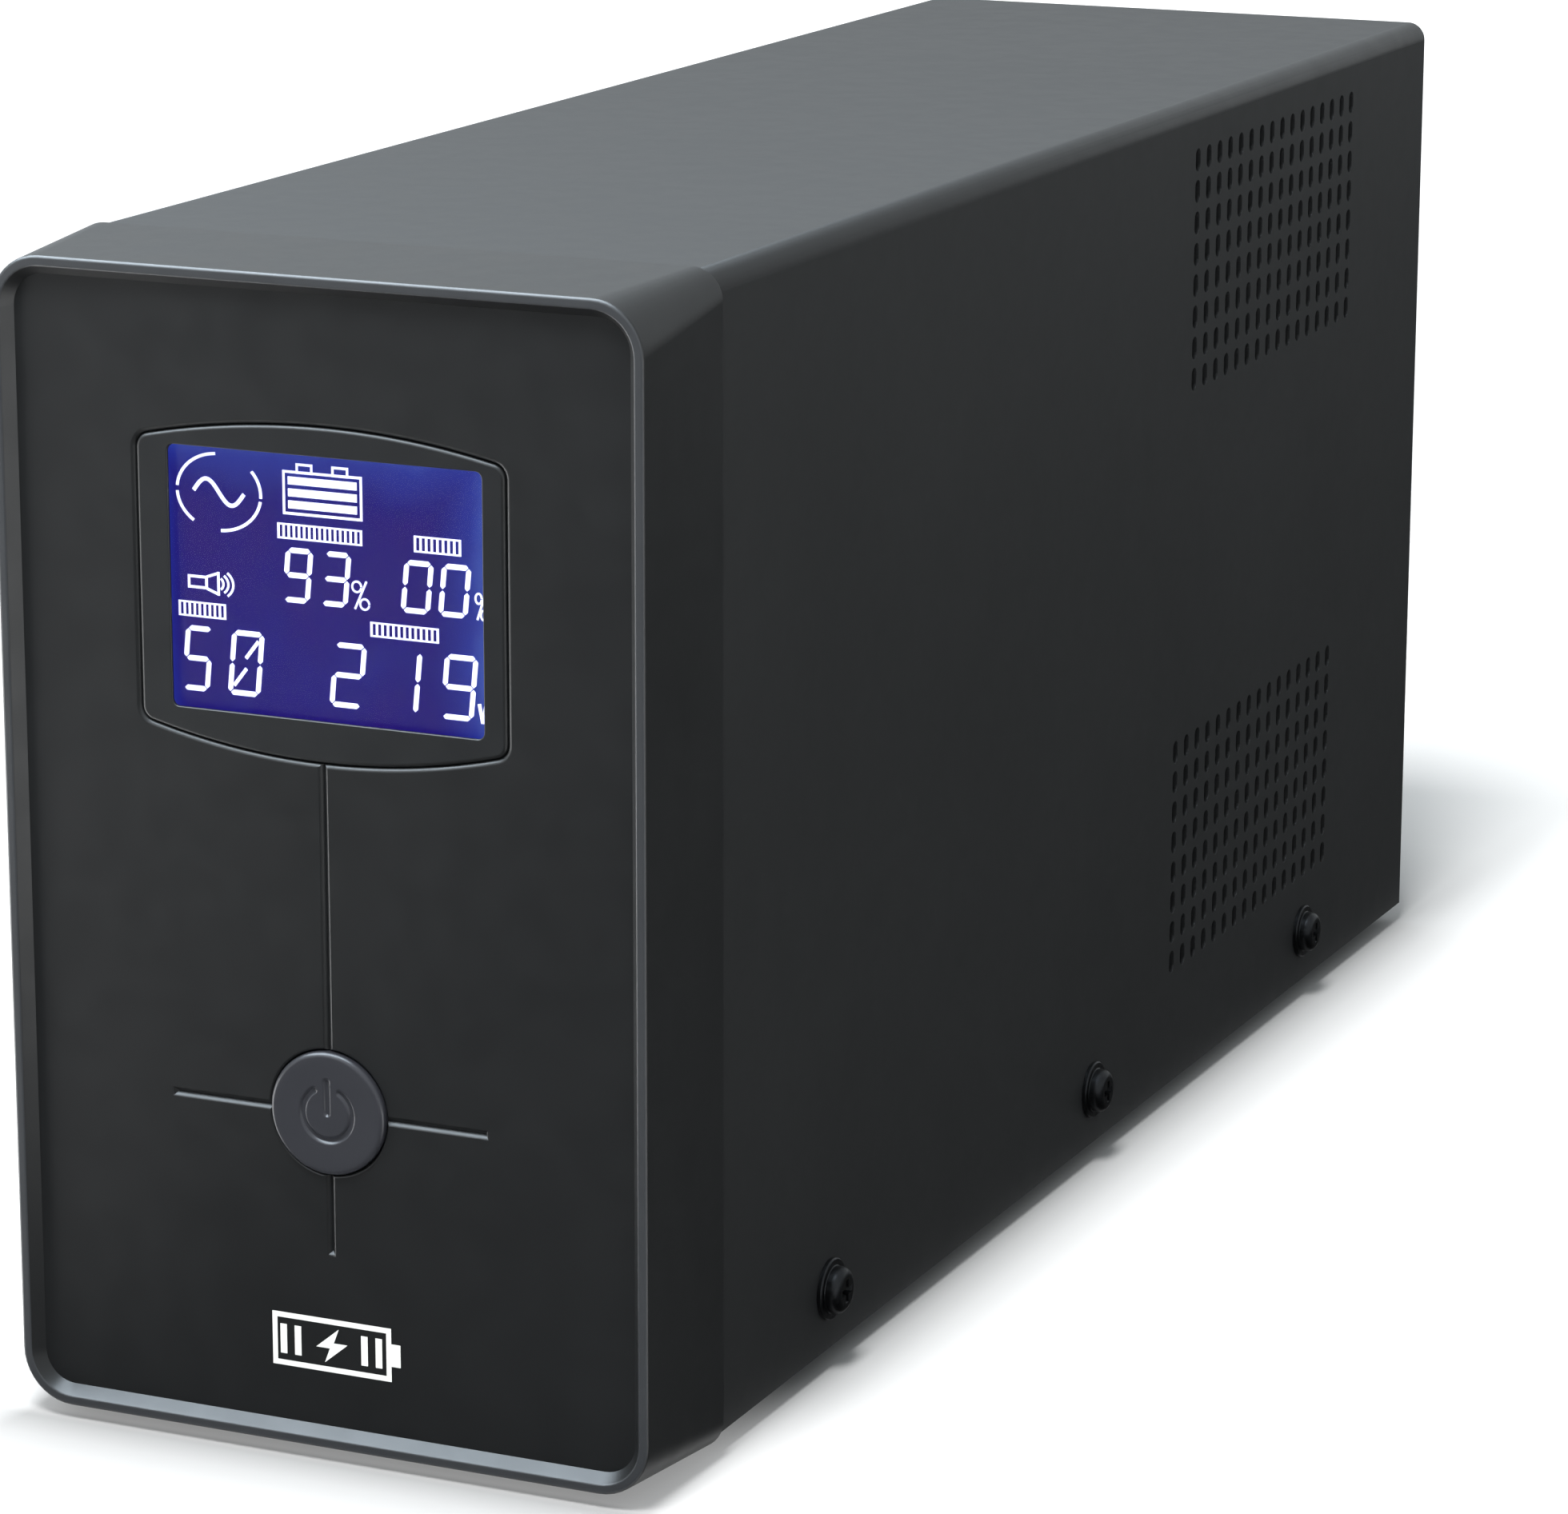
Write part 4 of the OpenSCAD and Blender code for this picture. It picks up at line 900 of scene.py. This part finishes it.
dress_cad_nodes()
polish_edges(finish_piece(shade(bezel_shell()), "ups_body", ["front_bezel"],
                          MATERIALS["bezel_plastic"]))
polish_edges(finish_piece(shade(display_surround()), "ups_body", ["display_frame"],
                          MATERIALS["frame_plastic"]))
finish_piece(lcd_marks(), "ups_body", [], MATERIALS["backlight"])
finish_piece(front_mark(), "ups_body", [], PRINT_WHITE)
finish_piece(shade(button_cap()), "power_button", ["power_button"], MATERIALS["button_plastic"])
screws = join("side_screws", [side_screw(side, y) for side in (-1, 1) for y in SCREW_Y])
finish_piece(shade(screws), "ups_body", ["cover_screws"], MATERIALS["black_screw"])


# ---------- floor, light and camera ----------

PAPER = 0.86
# How far the painted contact shadow on the floor reaches, and how it is stretched ahead of and behind the object.
PAINTED_SHADOW_REACH = 0.022
PAINTED_SHADOW_AHEAD, PAINTED_SHADOW_BEHIND = 0.45, 0.15
# Painted light: how strongly the floor glows under the object's front edge.
PAINTED_FRONT_LIGHT = 0.26
FAR_GLOW = (0.35, 1.6, 0, 0.6)
# Painted contact shadow: fractions of the paper's colour, darkest next to the object.
PAINTED_SHADOW = ((0, 0.42), (0.06, 0.5), (0.14, 0.6), (0.36, 0.77), (0.63, 0.89), (1, 1))


def floor():
    """Pale paper with a painted contact shadow around the object, a painted glow under its front edge that lifts
    that shadow, and a glow that grows with distance.
    """
    size = 6.0
    mesh = bpy.data.meshes.new("floor")
    mesh.from_pydata([(-size, -size, 0), (size, -size, 0), (size, size, 0), (-size, size, 0)], [], [(0, 1, 2, 3)])
    obj = bpy.data.objects.new("floor", mesh)
    bpy.context.scene.collection.objects.link(obj)
    s = Shader("floor_paper", 0.9, specular=0.1)
    split = s.add("ShaderNodeSeparateXYZ")
    s.link(s.place, split.inputs["Vector"])
    x, y = split.outputs["X"], split.outputs["Y"]
    back = COVER_HIGH.y * MM + FRONT_Y
    beside = s.math("MAXIMUM", s.math("SUBTRACT", s.math("ABSOLUTE", x), COVER_HIGH.x * MM), 0)
    before = s.math("MAXIMUM", s.math("MULTIPLY", s.math("SUBTRACT", FRONT_Y, y), PAINTED_SHADOW_AHEAD), 0)
    behind = s.math("MAXIMUM", s.math("MULTIPLY", s.math("SUBTRACT", y, back), PAINTED_SHADOW_BEHIND), 0)
    away = s.math("MULTIPLY", s.hypot(beside, s.math("ADD", before, behind)), 1 / PAINTED_SHADOW_REACH)
    # painted contact shadow: the paper's colour darkens towards the object's footprint
    tones = [(at, (PAPER * v, PAPER * v, PAPER * v, 1)) for at, v in PAINTED_SHADOW]
    s.link(s.ramp(away, tones), s.surface.inputs["Base Color"])
    far = s.add("ShaderNodeVectorMath", operation="LENGTH")
    s.link(s.place, far.inputs[0])
    # painted light: the floor glows under the front edge, fading away from the object, to lighten the contact shadow
    # there
    under_front = s.math("MULTIPLY", s.range(y, FRONT_Y - 0.001, FRONT_Y + 0.003, 0, PAINTED_FRONT_LIGHT),
                         s.range(y, FRONT_Y + 0.02, FRONT_Y + 0.06, 1, 0))
    painted_light_lift = s.math("MULTIPLY", under_front, s.range(away, 0.1, 0.6, 1, 0))
    glow = s.math("ADD", s.range(far.outputs["Value"], *FAR_GLOW), painted_light_lift)
    s.link(glow, s.surface.inputs["Emission Strength"])
    mesh.materials.append(s.material)


def softbox(name, at, aim, size, power, colour=(1, 1, 1), hidden=()):
    """A rectangular soft light that the camera and some kinds of ray don't see."""
    light = bpy.data.lights.new(name, "AREA")
    light.shape = "RECTANGLE"
    light.size, light.size_y = size
    light.energy = power
    light.color = colour
    obj = bpy.data.objects.new(name, light)
    bpy.context.scene.collection.objects.link(obj)
    obj.location = at
    obj.rotation_euler = (Vector(aim) - Vector(at)).to_track_quat("-Z", "Y").to_euler()
    for ray in ("camera",) + hidden:
        setattr(obj, "visible_" + ray, False)


def reflected_card(name, corners, tone, glow=0.0):
    """A card on the floor, or standing where its corners have a z, that shows only in reflections."""
    above_floor = 0.0004
    points = [at if len(at) == 3 else (*at, above_floor) for at in corners]
    mesh = bpy.data.meshes.new(name)
    mesh.from_pydata(points, [], [tuple(range(len(points)))])
    obj = bpy.data.objects.new(name, mesh)
    bpy.context.scene.collection.objects.link(obj)
    s = Shader(name, 0.9, specular=0.0)
    s.colour(s.noise(200, 2), [(0.3, tone), (0.7, tone)])
    s.surface.inputs["Emission Strength"].default_value = glow
    mesh.materials.append(s.material)
    for ray in ("camera", "diffuse", "transmission", "volume_scatter", "shadow"):
        setattr(obj, "visible_" + ray, False)


def world(strength):
    scene_world = bpy.data.worlds.new("room")
    scene_world.use_nodes = True
    back = scene_world.node_tree.nodes["Background"]
    back.inputs["Color"].default_value = (0.93, 0.98, 1, 1)
    back.inputs["Strength"].default_value = strength
    bpy.context.scene.world = scene_world


def camera():
    """Three-quarter view from the right and a little above, with a long lens."""
    azimuth, elevation, roll = (math.radians(a) for a in (24.075, 14.126, 0.12))
    target, distance = Vector((-0.0132, 0.0171, 0.0563)), 0.926
    back = Vector((math.sin(azimuth) * math.cos(elevation), -math.cos(azimuth) * math.cos(elevation),
                   math.sin(elevation)))
    right = Vector((0, 0, 1)).cross(back).normalized()
    up = back.cross(right)
    lens = bpy.data.cameras.new("camera")
    lens.lens, lens.sensor_width = 130.9, 36
    lens.clip_start, lens.clip_end = 0.05, 30
    obj = bpy.data.objects.new("camera", lens)
    bpy.context.scene.collection.objects.link(obj)
    turned = Matrix((right * math.cos(roll) + up * math.sin(roll),
                     up * math.cos(roll) - right * math.sin(roll), back)).transposed()
    obj.matrix_world = Matrix.Translation(target + back * distance) @ turned.to_4x4()
    bpy.context.scene.camera = obj


floor()
world(0.8)
softbox("key", (0.1, -0.7, 1.3), (0, 0, 0), (0.4, 0.4), 26, hidden=("glossy",))
softbox("overhead", (-0.55, -0.2, 1.2), (-0.02, -0.05, 0.1), (1.4, 1.4), 92, (0.78, 0.9, 1.0), hidden=("diffuse",))
softbox("front_top", (-0.8, -1.5, 1.0), (0, -0.1, 0.1), (1.2, 1.2), 6, (0.9, 0.95, 1.0), hidden=("diffuse",))

# The cards start just in front of the object's lower front corners.
near, side = FRONT_Y - 0.003, 0.06
reflected_card("dark_behind", [(0.05, FRONT_Y), (1.5, FRONT_Y), (1.5, 3), (0.05, 3)], "313131")
reflected_card("dark_front", [(side, near), (-side, near), (-1.2, -1.05), (-1.6, -5.9), (0.9, -5.9), (0.9, -0.75)],
               "2a2a2a")
reflected_card("dark_room", [(-2.6, -3, 0), (1.7, -3, 0), (1.7, -3, 0.6), (-2.6, -3, 0.6)], "2a2a2a")
reflected_card("bright_left", [(-side, near), (-1.2, near), (-1.2, -1.04)], "ffffff", 4.5)
reflected_card("bright_right", [(side, near), (1.2, near), (1.2, -0.7)], "ffffff", 2.0)
camera()
bpy.context.scene.view_settings.view_transform = "Standard"
